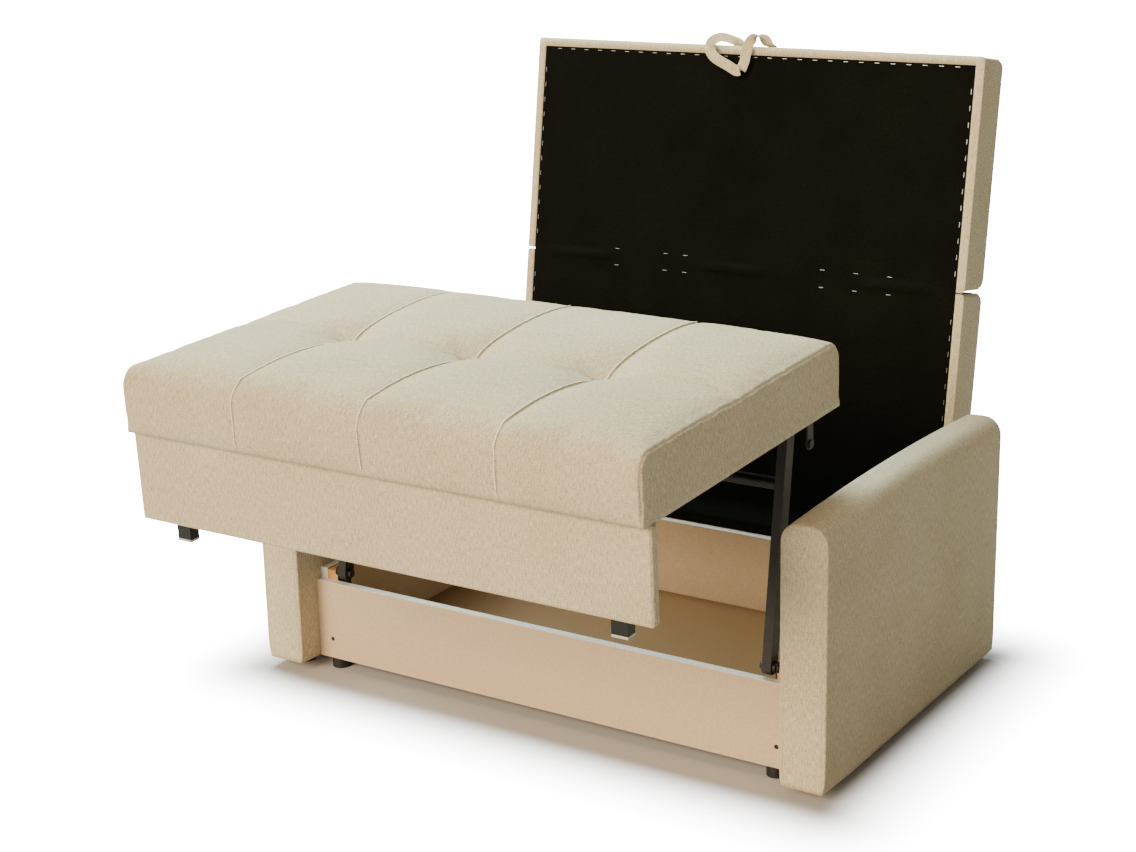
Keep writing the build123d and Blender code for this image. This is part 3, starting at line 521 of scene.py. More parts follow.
@dataclass
class SewnCover:
    """A cover swept along its length: one panel wrapped round a profile, a gusset at each end.

    The cover's own axes are a along the sweep, v across it and w up from the open foot.
    """

    name: str
    span: tuple[float, float]
    depth: float
    height: float
    to_model: Callable[[float, float, float], tuple[float, float, float]]
    stations: Sequence[float]
    rows: Sequence[float]
    corner: float = 0.03
    end_corner: float = 0.009
    dome: float = 0.0
    walls: int = 9
    arcs: int = 4
    pocket_a: tuple[float, float] = (0.0, 0.0)
    pocket_v: tuple[float, float] = (0.0, 0.0)
    pocket_height: float = 0.0
    slots: Sequence[tuple[float, float]] = ()
    slot_height: float = 0.0
    relief: Callable[[np.ndarray], np.ndarray] | None = None
    pins: Callable[[np.ndarray], np.ndarray] | None = None
    seams: list[Seam] = field(default_factory=list)
    pressure: float = 0.0
    slack: float = 0.0
    sim_step: float = 0.012
    cap: tuple[float, float, float] = (0.004, 0.004, 0.016)

    def top_at(self, a: float) -> float:
        """Gives the cover's height at one station, lower towards the ends of a domed one."""
        share = 2 * (a - self.span[0]) / (self.span[1] - self.span[0]) - 1
        return self.height - self.dome * share * share

    def foot_at(self, a: float, v: float) -> float:
        """Gives the foot's height: the pocket's roof inside it, a slot's in the rear rim, 0 outside."""
        inside_a = self.pocket_a[0] < a < self.pocket_a[1]
        inside_v = self.pocket_v[0] < v < self.pocket_v[1]
        if v >= self.pocket_v[1] and any(low < a < high for low, high in self.slots):
            return self.slot_height
        return self.pocket_height if inside_a and inside_v else 0.0

    def ring(self, a: float, inset: float) -> list[tuple[float, float]]:
        """Gives the profile at one station, drawn in by the inset, as (v, w) points.

        Args:
            a: The station.
            inset: How far the profile is drawn in.

        Returns:
            Points in four runs: up one wall, over the top, down the other wall, back under the foot.
        """
        top = self.top_at(a) - inset
        radius = max(self.corner - inset, 0.001)
        near, far = inset, self.depth - inset
        points = []
        foot = self.foot_at(a, near)
        for i in range(self.walls):
            points.append((near, foot + (top - radius - foot) * i / self.walls))
        for i in range(2 * self.arcs):
            angle = math.pi - math.pi / 2 * i / (2 * self.arcs)
            points.append((near + radius + radius * math.cos(angle), top - radius + radius * math.sin(angle)))
        for v in self.rows:
            points.append((min(max(v, near + radius), far - radius), top))
        for i in range(1, 2 * self.arcs + 1):
            angle = math.pi / 2 - math.pi / 2 * i / (2 * self.arcs)
            points.append((far - radius + radius * math.cos(angle), top - radius + radius * math.sin(angle)))
        foot = self.foot_at(a, far)
        for i in range(1, self.walls + 1):
            points.append((far, top - radius + (foot - top + radius) * i / self.walls))
        under = self.under_places(near, far)
        for v in under[::-1][1:-1]:
            points.append((v, self.foot_at(a, v)))
        return points

    def under_places(self, near: float, far: float) -> list[float]:
        """Gives the foot's places from near to far, as many as the top has."""
        count = len(self.rows) + 2 * self.arcs - 1
        step = 0.0004
        low, high = max(self.pocket_v[0], near), min(self.pocket_v[1], far)
        if self.pocket_height == 0:
            return [near + (far - near) * i / count for i in range(count + 1)]
        marks = [near]
        if low > near:
            marks += [low, low + step]
        else:
            marks += [near + step, near + 2 * step]
        ends = [far - 2 * step, far - step] if high >= far else [high - step, high]
        inner = count + 1 - len(marks) - len(ends) - 1
        first, last = marks[-1], ends[0]
        marks += [first + (last - first) * (i + 1) / (inner + 1) for i in range(inner)]
        return marks + ends + [far]

    def inset_at(self, a: float) -> float:
        """Gives how far the profile is drawn in near an end, round the end's corner."""
        from_end = min(a - self.span[0], self.span[1] - a)
        if from_end >= self.end_corner:
            return 0.0
        inward = self.end_corner - from_end
        return self.end_corner - math.sqrt(max(self.end_corner**2 - inward**2, 0.0))

    def gusset(self, ring: list[tuple[float, float]], a: float) -> bpy.types.Object:
        """Fills one end with a grid whose border is the profile there.

        Args:
            ring: The profile's points at that end.
            a: The end's station.

        Returns:
            The end panel.
        """
        side = self.walls + self.arcs
        across = len(self.rows) + 2 * self.arcs - 1
        pts = np.array(ring)
        left = pts[: side + 1]
        top = pts[side : side + across + 1]
        right = pts[side + across : 2 * side + across + 1][::-1]
        bottom = np.vstack([pts[2 * side + across :], pts[:1]])[::-1]
        t = np.linspace(0, 1, side + 1)[:, None, None]
        s = np.linspace(0, 1, across + 1)[None, :, None]
        flat = (1 - s) * left[:, None] + s * right[:, None] + (1 - t) * bottom[None] + t * top[None]
        flat -= (1 - t) * ((1 - s) * left[0] + s * right[0]) + t * ((1 - s) * left[-1] + s * right[-1])
        points = np.concatenate([np.full(flat.shape[:2] + (1,), a), flat], axis=2)
        return cloth_panel(points, flat)

    def sew(self) -> bpy.types.Object:
        """Builds the plain cover in its own axes."""
        rings = [self.ring(a, self.inset_at(a)) for a in self.stations]
        wrap = np.array([r + r[:1] for r in rings])
        along = np.array(self.stations)
        points = np.concatenate([np.broadcast_to(along[:, None, None], wrap.shape[:2] + (1,)), wrap], axis=2)
        middle = wrap[len(rings) // 2]
        walked = np.concatenate([[0.0], np.cumsum(np.linalg.norm(np.diff(middle, axis=0), axis=1))])
        marks = np.stack(np.broadcast_arrays(along[:, None], walked[None, :]), axis=2)
        panel = cloth_panel(points.transpose(1, 0, 2), marks.transpose(1, 0, 2))
        ends = [self.gusset(rings[0], self.stations[0]), self.gusset(rings[-1], self.stations[-1])]
        cover = joined(self.name, [panel] + ends, merge=2e-6)
        outward(cover)
        return cover

    def make(self) -> bpy.types.Object:
        """Builds the cover: sewn, filled, pulled in at its seams, and put in the model's frame."""
        cover = self.sew()
        rest = coordinates(cover)
        shaped = rest + self.relief(rest) if self.relief else rest
        if self.pressure > 0:
            shaped = shaped + self.inflated(rest)
        place_points(cover, shaped)
        self.pull_seams(cover, rest)
        points = coordinates(cover)
        place_points(cover, np.array([self.to_model(*p) for p in points]))
        outward(cover)
        cover.data.shade_smooth()
        return cover

    def inflated(self, rest: np.ndarray) -> np.ndarray:
        """Fills a coarser copy of the cover by cloth simulation with inner pressure.

        Args:
            rest: The cover's points as sewn.

        Returns:
            How far the filling moves each of those points, held to the cap.
        """
        low, high = self.span
        ends = [0.0, 0.4 * self.end_corner, self.end_corner]
        count = round((high - low) / self.sim_step)
        run = np.linspace(low + 2 * self.end_corner, high - 2 * self.end_corner, count)
        first, last = self.rows[0], self.rows[-1]
        trial = replace(
            self,
            name="filling_trial",
            stations=sorted([low + e for e in ends] + list(run) + [high - e for e in ends]),
            rows=list(np.linspace(first, last, round((last - first) / self.sim_step))),
            walls=max(4, round(self.height / self.sim_step)),
            arcs=2,
        )
        pad = trial.sew()
        sewn = coordinates(pad)
        start = sewn + self.relief(sewn) if self.relief else sewn
        place_points(pad, start)
        held = self.pins(sewn) if self.pins else np.zeros(len(sewn))
        a, v, w = sewn.T
        held = np.where(w < FOOT_BAND, 1.0, held)
        inside = (w < self.pocket_height + POCKET_SKIN) & (v > RIM_SKIN) & (v < self.depth - RIM_SKIN)
        inside &= (a > low + POCKET_SKIN) & (a < high - POCKET_SKIN) & (self.pocket_height > 0)
        held = np.round(np.where(inside, 1.0, held), 1)
        group = pad.vertex_groups.new(name="held")
        for level in np.unique(held[held > 0]):
            group.add(np.nonzero(held == level)[0].tolist(), float(level), "REPLACE")
        activate(pad)
        modifier = pad.modifiers.new("Cloth", "CLOTH")
        cloth = modifier.settings
        cloth.quality = 5
        cloth.mass = 0.25
        cloth.tension_stiffness = cloth.compression_stiffness = 12
        cloth.shear_stiffness = 6
        cloth.bending_stiffness = 0.3
        cloth.shrink_min = -self.slack
        cloth.use_pressure = True
        cloth.uniform_pressure_force = self.pressure
        cloth.effector_weights.gravity = 0
        cloth.vertex_group_mass = "held"
        modifier.point_cache.frame_start, modifier.point_cache.frame_end = 1, SIM_FRAMES
        scene = bpy.context.scene
        for number in range(1, SIM_FRAMES + 1):
            scene.frame_set(number)
        bpy.ops.object.modifier_apply(modifier=modifier.name)
        scene.frame_set(1)
        limit = np.array(self.cap)
        moved = limit * np.tanh((coordinates(pad) - start) / limit)
        bpy.data.objects.remove(pad)
        tree = KDTree(len(sewn))
        for i, point in enumerate(sewn):
            tree.insert(point, i)
        tree.balance()
        filled = np.zeros_like(rest)
        for i, point in enumerate(rest):
            near = tree.find_n(point, 5)
            weights = np.array([1 / (d + 1e-4) ** 2 for _, _, d in near])
            filled[i] = weights @ moved[[j for _, j, _ in near]] / weights.sum()
        return filled

    def pull_seams(self, cover: bpy.types.Object, rest: np.ndarray) -> None:
        """Draws the cover in along each seam, square to its surface."""
        normals = point_normals(cover)
        depth = np.zeros(len(rest))
        for seam in self.seams:
            away = seam.distance(rest) / seam.width
            pulled = seam.depth * np.exp(-away * away)
            depth = np.where(np.abs(pulled) > np.abs(depth), pulled, depth)
        place_points(cover, coordinates(cover) - normals * depth[:, None])


def refined(
    low: float, high: float, step: float, near: Iterable[float] = (), ends: float = 0.0
) -> list[float]:
    """Gives places from low to high, closer together at the lines named.

    Args:
        low: First place.
        high: Last place.
        step: The usual distance between places.
        near: Lines that get closer places.
        ends: Radius of the rounding at both ends, which gets closer places too.

    Returns:
        The sorted places.
    """
    places = list(np.linspace(low, high, max(2, round((high - low) / step) + 1)))
    for line in near:
        places = [p for p in places if abs(p - line) > 0.0085 or p in (low, high)]
        places += [line + offset for offset in (-0.007, -0.004, -0.002, 0.0, 0.002, 0.004, 0.007)]
    if ends > 0:
        places = [p for p in places if low + ends + 0.002 < p < high - ends - 0.002]
        for share in (0.0, 0.06, 0.16, 0.3, 0.5, 0.72, 1.0, 1.3):
            places += [low + ends * share, high - ends * share]
    return sorted(set(round(p, 6) for p in places if low <= p <= high))


def nearest(values: np.ndarray, lines: Sequence[float]) -> np.ndarray:
    """Gives the distance from each value to the nearest line."""
    return np.min(np.abs(values[:, None] - np.array(lines)[None, :]), axis=1)


def above_foot(points: np.ndarray, away: np.ndarray) -> np.ndarray:
    """Keeps the distances to a seam above the foot band, and puts it out of reach below."""
    return np.where(points[:, 2] > FOOT_BAND, away, 1.0)


def gusset_seam(half: float) -> Seam:
    """Makes the seam that joins a cover's wrapped panel to its two gussets."""
    inward = 0.0024
    return Seam(
        lambda p: above_foot(p, np.abs(np.abs(p[:, 0]) - half + inward)), depth=0.0022, width=0.0028
    )


# Stitching


@dataclass(frozen=True)
class Topstitch:
    """A row of thread stitches, each a small spindle lying on the cloth."""

    pitch: float = 0.0052
    length: float = 0.0050
    radius: float = 0.0014
    flatness: float = 1.0

    def sew(self, name: str, lines: Sequence[Sequence[Vector]]) -> bpy.types.Object:
        """Lays copies of one stitch along lines of points.

        Args:
            name: The new piece's name.
            lines: Each line's points, close together.

        Returns:
            All the stitches as one mesh.
        """
        deselect()
        bpy.ops.mesh.primitive_uv_sphere_add(segments=6, ring_count=4, radius=1.0)
        stitch = bpy.context.object
        shape = coordinates(stitch) * np.array([self.radius, self.radius * self.flatness, self.length / 2])
        faces = [list(p.vertices) for p in stitch.data.polygons]
        bpy.data.objects.remove(stitch)
        points, polygons = [], []
        for line in lines:
            for middle, way in walk(line, self.pitch):
                turn = way.to_track_quat("Z", "Y").to_matrix()
                base = len(points)
                points += [middle + turn @ Vector(p) for p in shape]
                polygons += [[base + i for i in face] for face in faces]
        mesh = bpy.data.meshes.new(name)
        mesh.from_pydata(points, [], polygons)
        piece = bpy.data.objects.new(name, mesh)
        bpy.context.scene.collection.objects.link(piece)
        mesh.shade_smooth()
        return piece


def walk(line: Sequence[Vector], pitch: float) -> list[tuple[Vector, Vector]]:
    """Walks along a line of points in even steps.

    Args:
        line: Points close together.
        pitch: The step.

    Returns:
        The middle and the direction of each step.
    """
    steps = []
    gone = 0.0
    due = pitch / 2
    for a, b in zip(line, line[1:]):
        length = (b - a).length
        while length > 0 and due <= gone + length:
            steps.append((a.lerp(b, (due - gone) / length), (b - a).normalized()))
            due += pitch
        gone += length
    return steps


def traced(cover: bpy.types.Object, path: Sequence[Vector], way: Sequence[Vector], lift: float) -> list[Vector]:
    """Drops a path onto a cover, so that stitches lie on its surface.

    Args:
        cover: The finished cover, in the model's frame.
        path: Points outside the cover.
        way: The direction in which each point is dropped.
        lift: Height over the surface.

    Returns:
        The points where the path meets the cover.
    """
    found = []
    for start, direction in zip(path, way):
        hit, place, normal, _ = cover.ray_cast(start, direction)
        if hit:
            found.append(place + normal * lift)
    return found


# The seat


@dataclass
class Seat:
    """The tufted seat: cushion, apron, lining and topstitching, all riding on the seat body."""

    width: float = 1.188
    depth: float = 0.75
    height: float = 0.131
    rim: float = 0.02
    roof: float = 0.0374
    corner: float = 0.034
    crown: float = 0.024
    valley_depth: float = 0.009
    valley_reach: float = 0.032
    cross_depth: float = 0.0115
    cross_reach: float = 0.038
    tuft_depth: float = 0.017
    tuft_reach: float = 0.034
    belly: float = 0.004
    tuck: float = 0.005
    pinch: float = 0.0035
    ridge: float = -0.0045
    slot_x: tuple[float, float] = (0.5205, 0.5465)
    slot_height: float = 0.012
    lip: float = 0.001
    top_band: float = 0.02
    tuck_height: float = 0.014
    pinch_reach: float = 0.02
    row_spread: float = 0.17
    column_spread: float = 0.09
    tuft_grip: float = 0.011
    seam_grip: float = 0.007
    apron_half: float = 0.597
    apron_back: float = 0.02
    apron_depth: float = 0.024
    apron_height: float = 0.188
    apron_swell: float = 0.0012

    def dent(self, p: np.ndarray) -> np.ndarray:
        """Shapes the pillows: domes between the seams, valleys on them, tufts, and a tucked lower edge."""
        x, y, z = p.T
        top = np.clip((z - self.height + self.corner) / self.corner, 0, 1) ** 1.5
        edge_x = 1 - np.clip(np.abs(x) / (self.width / 2), 0, 1) ** 7
        from_mid = (y - self.depth / 2) / (self.depth / 2)
        edge_y = 1 - np.clip(np.abs(from_mid), 0, 1) ** np.where(from_mid < 0, 3.6, 6.0)
        column = nearest(x, SEAT_COLUMN_SEAMS)
        row = np.abs(y - SEAT_ROW_SEAM)
        reach = np.hypot(column, row)
        near_row = np.exp(-((row / self.row_spread) ** 2))
        near_column = np.exp(-((column / self.column_spread) ** 2))
        valley = self.valley_depth * np.exp(-column / self.valley_reach) * (0.35 + 1.5 * near_row)
        cross = self.cross_depth * np.exp(-row / self.cross_reach) * (0.45 + 0.9 * near_column)
        tuft = self.tuft_depth * np.exp(-reach / self.tuft_reach)
        drawn = (valley + cross + tuft) * np.minimum(1, 3 * edge_y)
        moved = np.zeros_like(p)
        moved[:, 2] = (self.crown * edge_x * edge_y - drawn) * top
        wall = (z > self.lip) & (z < self.height - self.top_band)
        belly = self.belly * np.sin(np.clip(z / self.height, 0, 1) * math.pi)
        tuck = self.tuck * np.clip(1 - z / self.tuck_height, 0, 1) ** 2
        pinch = self.pinch * np.exp(-column / self.pinch_reach) * (z > self.lip)
        front = np.where(wall, -belly, 0) * (1 - np.clip(np.abs(x) / (self.width / 2), 0, 1) ** 10)
        moved[:, 1] = np.where(y < 0.002, front * (1 - 0.5 * np.exp(-column / 0.03)) + tuck + 0.4 * pinch, 0)
        return moved

    def held(self, p: np.ndarray) -> np.ndarray:
        """Says how firmly the cloth is held: fully at the tufts, less along the seams."""
        x, y, z = p.T
        column = nearest(x, SEAT_COLUMN_SEAMS)
        row = np.abs(y - SEAT_ROW_SEAM)
        on_top = z > self.height - self.top_band
        grip = np.where(on_top & (np.hypot(column, row) < self.tuft_grip), 1.0, 0.0)
        grip = np.maximum(grip, np.where((z > 0.02) & (column < self.seam_grip), 0.4, 0.0))
        grip = np.maximum(grip, np.where(on_top & (row < self.seam_grip), 0.3, 0.0))
        return np.maximum(grip, np.where(np.abs(x) > self.width / 2 - 0.004, 0.4, 0.0))

    def cushion(self) -> bpy.types.Object:
        """Builds the tufted cushion with its seams."""
        half = self.width / 2
        stations = refined(-half, half, 0.0085, SEAT_COLUMN_SEAMS, 0.008)
        inner = half - self.rim
        edges = [s * x for s in (-1, 1) for x in (*self.slot_x, inner)]
        stations = sorted(set(stations + [edge + d for edge in edges for d in (-CREASE, CREASE)]))
        ridges = [x + self.ridge for x in SEAT_COLUMN_SEAMS]
        cover = SewnCover(
            name="tufted_seat_cushion",
            span=(-half, half),
            depth=self.depth,
            height=self.height,
            to_model=SEAT_STAND.point,
            stations=stations,
            rows=refined(self.corner, self.depth - self.corner, 0.0085, (SEAT_ROW_SEAM,)),
            corner=self.corner,
            end_corner=0.008,
            walls=11,
            pocket_a=(-inner, inner),
            pocket_v=(self.rim, self.depth - self.rim),
            pocket_height=self.roof,
            slots=[self.slot_x, (-self.slot_x[1], -self.slot_x[0])],
            slot_height=self.slot_height,
            relief=self.dent,
            pins=self.held,
            seams=[
                Seam(lambda p: above_foot(p, nearest(p[:, 0], SEAT_COLUMN_SEAMS)), depth=0.0012, width=0.002),
                Seam(lambda p: above_foot(p, nearest(p[:, 0], ridges)), depth=-0.0004, width=0.0024),
                Seam(self.from_row_seam, depth=0.0012, width=0.0028),
                gusset_seam(half),
            ],
            pressure=4.0,
            slack=0.012,
            sim_step=0.0115,
            cap=(0.003, 0.004, 0.007),
        )
        return cover.make()

    def from_row_seam(self, p: np.ndarray) -> np.ndarray:
        """Gives the distance to the seam across the top, out of reach below the top."""
        return np.where(p[:, 2] > self.height - 0.01, np.abs(p[:, 1] - SEAT_ROW_SEAM), 1.0)

    def stitch_lines(self, cushion: bpy.types.Object) -> list[list[Vector]]:
        """Traces the three front-to-back rows of stitches over the front edge and the top."""
        lines = []
        clear, step, swing = 0.06, 0.004, 0.09
        turn = np.linspace(0, math.pi / 2, 24)
        for x in SEAT_COLUMN_SEAMS:
            beside = x + self.ridge
            low = [(beside, -clear, FOOT_BAND + step * i) for i in range(21)]
            bend = [
                (beside, self.corner - swing * math.cos(t), self.height - self.corner + swing * math.sin(t))
                for t in turn
            ]
            top = [(beside, self.corner + step * (i + 1), self.height + clear) for i in range(170)]
            aims = [(0, 1, 0)] * len(low)
            aims += [(0, math.cos(t), -math.sin(t)) for t in turn]
            aims += [(0, 0, -1)] * len(top)
            origin = Vector(SEAT_STAND.point(0, 0, 0))
            path = [Vector(SEAT_STAND.point(*q)) for q in low + bend + top]
            ways = [Vector(SEAT_STAND.point(*a)) - origin for a in aims]
            lines.append(traced(cushion, path, ways, 0.0009))
        return lines

    def swollen(self, p: np.ndarray) -> np.ndarray:
        """Swells the apron's front face a little."""
        a, v, w = p.T
        front = np.where(v < 0.004, -1, 0)
        moved = np.zeros_like(p)
        moved[:, 1] = self.apron_swell * np.sin(w / self.apron_height * math.pi) * front
        moved[:, 1] *= 1 - np.abs(a / self.apron_half) ** 6
        return moved

    def apron(self) -> bpy.types.Object:
        """Builds the padded apron cover that hangs under the seat's front edge."""
        half = self.apron_half
        cover = SewnCover(
            name="apron_upholstery",
            span=(-half, half),
            depth=self.apron_depth,
            height=self.apron_height,
            to_model=lambda a, v, w: SEAT_STAND.point(a, self.apron_back + v, -w),
            stations=refined(-half, half, 0.012, (), 0.006),
            rows=[0.0065, 0.012, 0.0175],
            corner=0.006,
            end_corner=0.006,
            walls=16,
            pocket_a=(-0.5852, 0.5852),
            pocket_v=(0.0058, 0.0182),
            pocket_height=0.1764,
            relief=self.swollen,
            seams=[Seam(lambda p: np.abs(np.abs(p[:, 0]) - half + 0.0018), depth=0.001, width=0.002)],
        )
        return cover.make()

    def lining(self) -> bpy.types.Object:
        """Builds the black cloth under the seat's frame."""
        half, near, far = 0.509, 0.072, 0.71
        xs, ys = np.linspace(-half, half, 61), np.linspace(near, far, 41)
        sag = [[0.0096 - 0.0004 * math.sin(x * 19) * math.sin(y * 23) for x in xs] for y in ys]
        grid = np.array([[SEAT_STAND.point(x, y, z) for x, z in zip(xs, row)] for y, row in zip(ys, sag)])
        marks = np.array([[(x, y) for x in xs] for y in ys])
        sheet = joined("seat_underside_lining", [cloth_panel(grid, marks)])
        apply_modifier(sheet, "SOLIDIFY", thickness=0.0006, offset=0.0)
        smooth(sheet)
        return sheet

    def build(self, wardrobe: Wardrobe) -> None:
        cushion = self.cushion()
        wardrobe.dress(cushion, Slot.UPHOLSTERY)
        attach(cushion, Body.SEAT.value)
        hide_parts("seat_cushion")
        LOG.info("seat cushion with %d faces", len(cushion.data.polygons))
        stitches = Topstitch(radius=0.002, flatness=0.35).sew("seat_topstitching", self.stitch_lines(cushion))
        wardrobe.dress(stitches, Slot.UPHOLSTERY, wardrobe.thread)
        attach(stitches, Body.SEAT.value)
        apron = self.apron()
        wardrobe.dress(apron, Slot.UPHOLSTERY)
        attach(apron, Body.SEAT.value)
        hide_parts("apron_cover")
        lining = self.lining()
        wardrobe.dress(lining, Slot.LINING)
        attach(lining, Body.SEAT.value)
        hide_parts("seat_lining")
        LOG.info("apron, lining and topstitching on the seat")


# The back


@dataclass
class BackSlab:
    """One slab of the back: a padded cover with side gussets round a wooden frame."""

    name: str
    node: str
    stand: Stand
    length: float
    body: Body
    closed_end: bool
    thickness: float = 0.1288
    corner: float = 0.026
    wrap: float = 0.02
    roof: float = 0.0394
    face_band: float = 0.03
    lift: float = 0.004
    crown: float = 0.006

    def puff(self, p: np.ndarray) -> np.ndarray:
        """Shapes the padded face as a low dome."""
        x, v, w = p.T
        top = np.clip((w - self.thickness + self.face_band) / self.face_band, 0, 1)
        edge_x = 1 - np.clip(np.abs(x) / (SLAB_WIDTH / 2), 0, 1) ** 6
        edge_v = 1 - np.clip(np.abs(v - self.length / 2) / (self.length / 2), 0, 1) ** 4
        moved = np.zeros_like(p)
        moved[:, 2] = (self.lift + self.crown * edge_x * edge_v) * top * edge_x
        return moved

    def cover(self) -> bpy.types.Object:
        """Builds the slab's padded cover."""
        half = SLAB_WIDTH / 2
        length = self.length - END_GAP * (1 if self.closed_end else 2)
        far = length - self.wrap if self.closed_end else length + 0.002
        inner = half - self.wrap
        stations = refined(-half, half, 0.012, (), 0.008)
        stations = sorted(set(stations + [s * (inner + d) for s in (-1, 1) for d in (-CREASE, 2 * CREASE)]))
        block = SewnCover(
            name=self.name,
            span=(-half, half),
            depth=length,
            height=self.thickness,
            to_model=lambda a, v, w: self.stand.point(a, w + FACE_GAP, v + END_GAP),
            stations=stations,
            rows=refined(self.corner, length - self.corner, 0.012),
            corner=self.corner,
            end_corner=0.008,
            walls=11,
            pocket_a=(-inner, inner),
            pocket_v=(-0.002, far),
            pocket_height=self.roof,
            relief=self.puff,
            seams=[gusset_seam(half)],
            pressure=3.0,
            sim_step=0.016,
            cap=(0.003, 0.002, 0.006),
        )
        return block.make()

    def build(self, wardrobe: Wardrobe) -> None:
        cover = self.cover()
        wardrobe.dress(cover, Slot.UPHOLSTERY)
        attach(cover, self.body.value)
        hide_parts(self.node)
        LOG.info("%s with %d faces", self.name, len(cover.data.polygons))


@dataclass
class BackLining:
    """The black lining over both slabs, one sheet that covers the rear rail and crosses the fold."""

    margin: float = 0.02
    thickness: float = 0.0006
    rail_front: float = 0.4831
    rail_low: float = 0.2152
    rail_top: float = 0.2408
    first: float = 0.019
    face: float = 0.0018
    ripple: float = 0.0002
    hinge_half: float = 0.032
    hinge_fade: float = 0.045
    fold_fade: float = 0.011
    over_knuckle: float = 0.0028

    def depth_at(self, x: float, from_fold: float) -> float:
        """Gives the sheet's place behind the hinge plane, in front of the hinge knuckles."""
        plain = self.face + self.ripple * math.sin(x * 31) * math.sin(from_fold * 27)
        over = 0.0
        for hinge in HINGE_X:
            side = max(abs(x - hinge) - self.hinge_half, 0.0)
            over = max(over, math.exp(-((side / self.hinge_fade) ** 2)))
        near_fold = math.exp(-((from_fold / self.fold_fade) ** 2) ** 1.5)
        return plain - (KNUCKLE_RADIUS + self.over_knuckle) * over * near_fold

    def build(self, wardrobe: Wardrobe) -> None:
        half = SLAB_WIDTH / 2 - self.margin
        top = LOWER_LENGTH + UPPER_LENGTH - self.margin
        xs = np.linspace(-half, half, 121)
        apron = [(self.rail_front, z) for z in np.linspace(self.rail_low, self.rail_top - 0.002, 6)]
        corner = Vector((self.rail_front + 0.0012, self.rail_top))
        start = Vector(LOWER_STAND.point(0, self.face, self.first)[1:])
        apron += [tuple(corner.lerp(start, i / 6)) for i in range(6)]
        zs = list(np.linspace(self.first, LOWER_LENGTH - 0.024, 40))
        zs += [LOWER_LENGTH + d for d in np.linspace(-0.02, 0.02, 21)]
        zs += list(np.linspace(LOWER_LENGTH + 0.024, top, 36))
        rows = [[(x, y, z) for x in xs] for y, z in apron]
        rows += [[LOWER_STAND.point(x, self.depth_at(x, z - LOWER_LENGTH), z) for x in xs] for z in zs]
        grid = np.array(rows)
        walked = np.concatenate([[0.0], np.cumsum(np.linalg.norm(np.diff(grid[:, 0], axis=0), axis=1))])
        marks = np.array([[(x, w) for x in xs] for w in walked])
        sheet = joined("back_lining", [cloth_panel(grid, marks)])
        apply_modifier(sheet, "SOLIDIFY", thickness=self.thickness, offset=0.0)
        smooth(sheet, 60)
        wardrobe.dress(sheet, Slot.LINING)
        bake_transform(sheet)
        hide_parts("lower_slab_lining", "upper_slab_lining")
        LOG.info("lining over both slabs, %.3f long", walked[-1])


@dataclass
class PullStrap:
    """The strap of the cover's cloth at the back's top edge, fallen in twisted loops over the lining."""

    width: float = 0.024
    thickness: float = 0.0022
    route: tuple[tuple[float, float, float], ...] = (
        (0.046, 0.036, 0.5165),
        (0.0426, 0.022, 0.521),
        (0.036, 0.012, 0.5315),
        (0.0226, 0.002, 0.5376),
        (0.009, -0.008, 0.5264),
        (0.0042, -0.014, 0.501),
        (0.0003, -0.015, 0.476),
        (-0.012, -0.016, 0.4571),
        (-0.041, -0.02, 0.4694),
        (-0.0744, -0.022, 0.4861),
        (-0.0901, -0.018, 0.5062),
        (-0.0896, -0.006, 0.525),
        (-0.0724, 0.006, 0.5332),
        (-0.0456, 0.016, 0.5267),
        (-0.034, 0.024, 0.5195),
        (-0.028, 0.036, 0.5165),
    )
    across: tuple[tuple[float, float, float], ...] = (
        (1, 0, 0),
        (1, 0.2, 0),
        (0.7, 0.7, 0),
        (0.4, 0.9, 0.1),
        (0.8, 0.5, 0),
        (1, 0.3, 0),
        (1, 0.1, 0.1),
        (0.5, 0.2, 0.8),
        (0.3, -0.1, 1),
        (0.1, 0.1, 1),
        (-0.2, 0.4, 0.9),
        (-0.1, 0.5, 0.9),
        (0.1, 0.6, 0.8),
        (0.3, 0.8, 0.6),
        (0.8, 0.6, 0.2),
        (1, 0, 0),
    )

    def build(self, wardrobe: Wardrobe) -> None:
        line = spline_points([Vector(q) for q in self.route], 8)
        ways = spline_points([Vector(q).normalized() for q in self.across], 8)
        rows = []
        for i, (p, aim) in enumerate(zip(line, ways)):
            before, after = line[max(i - 1, 0)], line[min(i + 1, len(line) - 1)]
            along = (after - before).normalized()
            side = (aim - along * aim.dot(along)).normalized()
            rows.append([UPPER_STAND.point(*(p + side * self.width * (k / 6 - 0.5))) for k in range(7)])
        grid = np.array(rows)
        gone = np.concatenate([[0.0], np.cumsum([(b - a).length for a, b in zip(line, line[1:])])])
        marks = np.array([[(self.width * k / 6, g) for k in range(7)] for g in gone])
        strap = joined("back_pull_strap", [cloth_panel(grid, marks)])
        apply_modifier(strap, "SOLIDIFY", thickness=self.thickness, offset=0.0)
        apply_modifier(strap, "BEVEL", width=0.0006, segments=2, limit_method="ANGLE")
        smooth(strap, 60)
        wardrobe.dress(strap, Slot.UPHOLSTERY)
        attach(strap, Body.UPPER_SLAB.value)
        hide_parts("pull_strap")
        LOG.info("pull strap %.3f long", gone[-1])


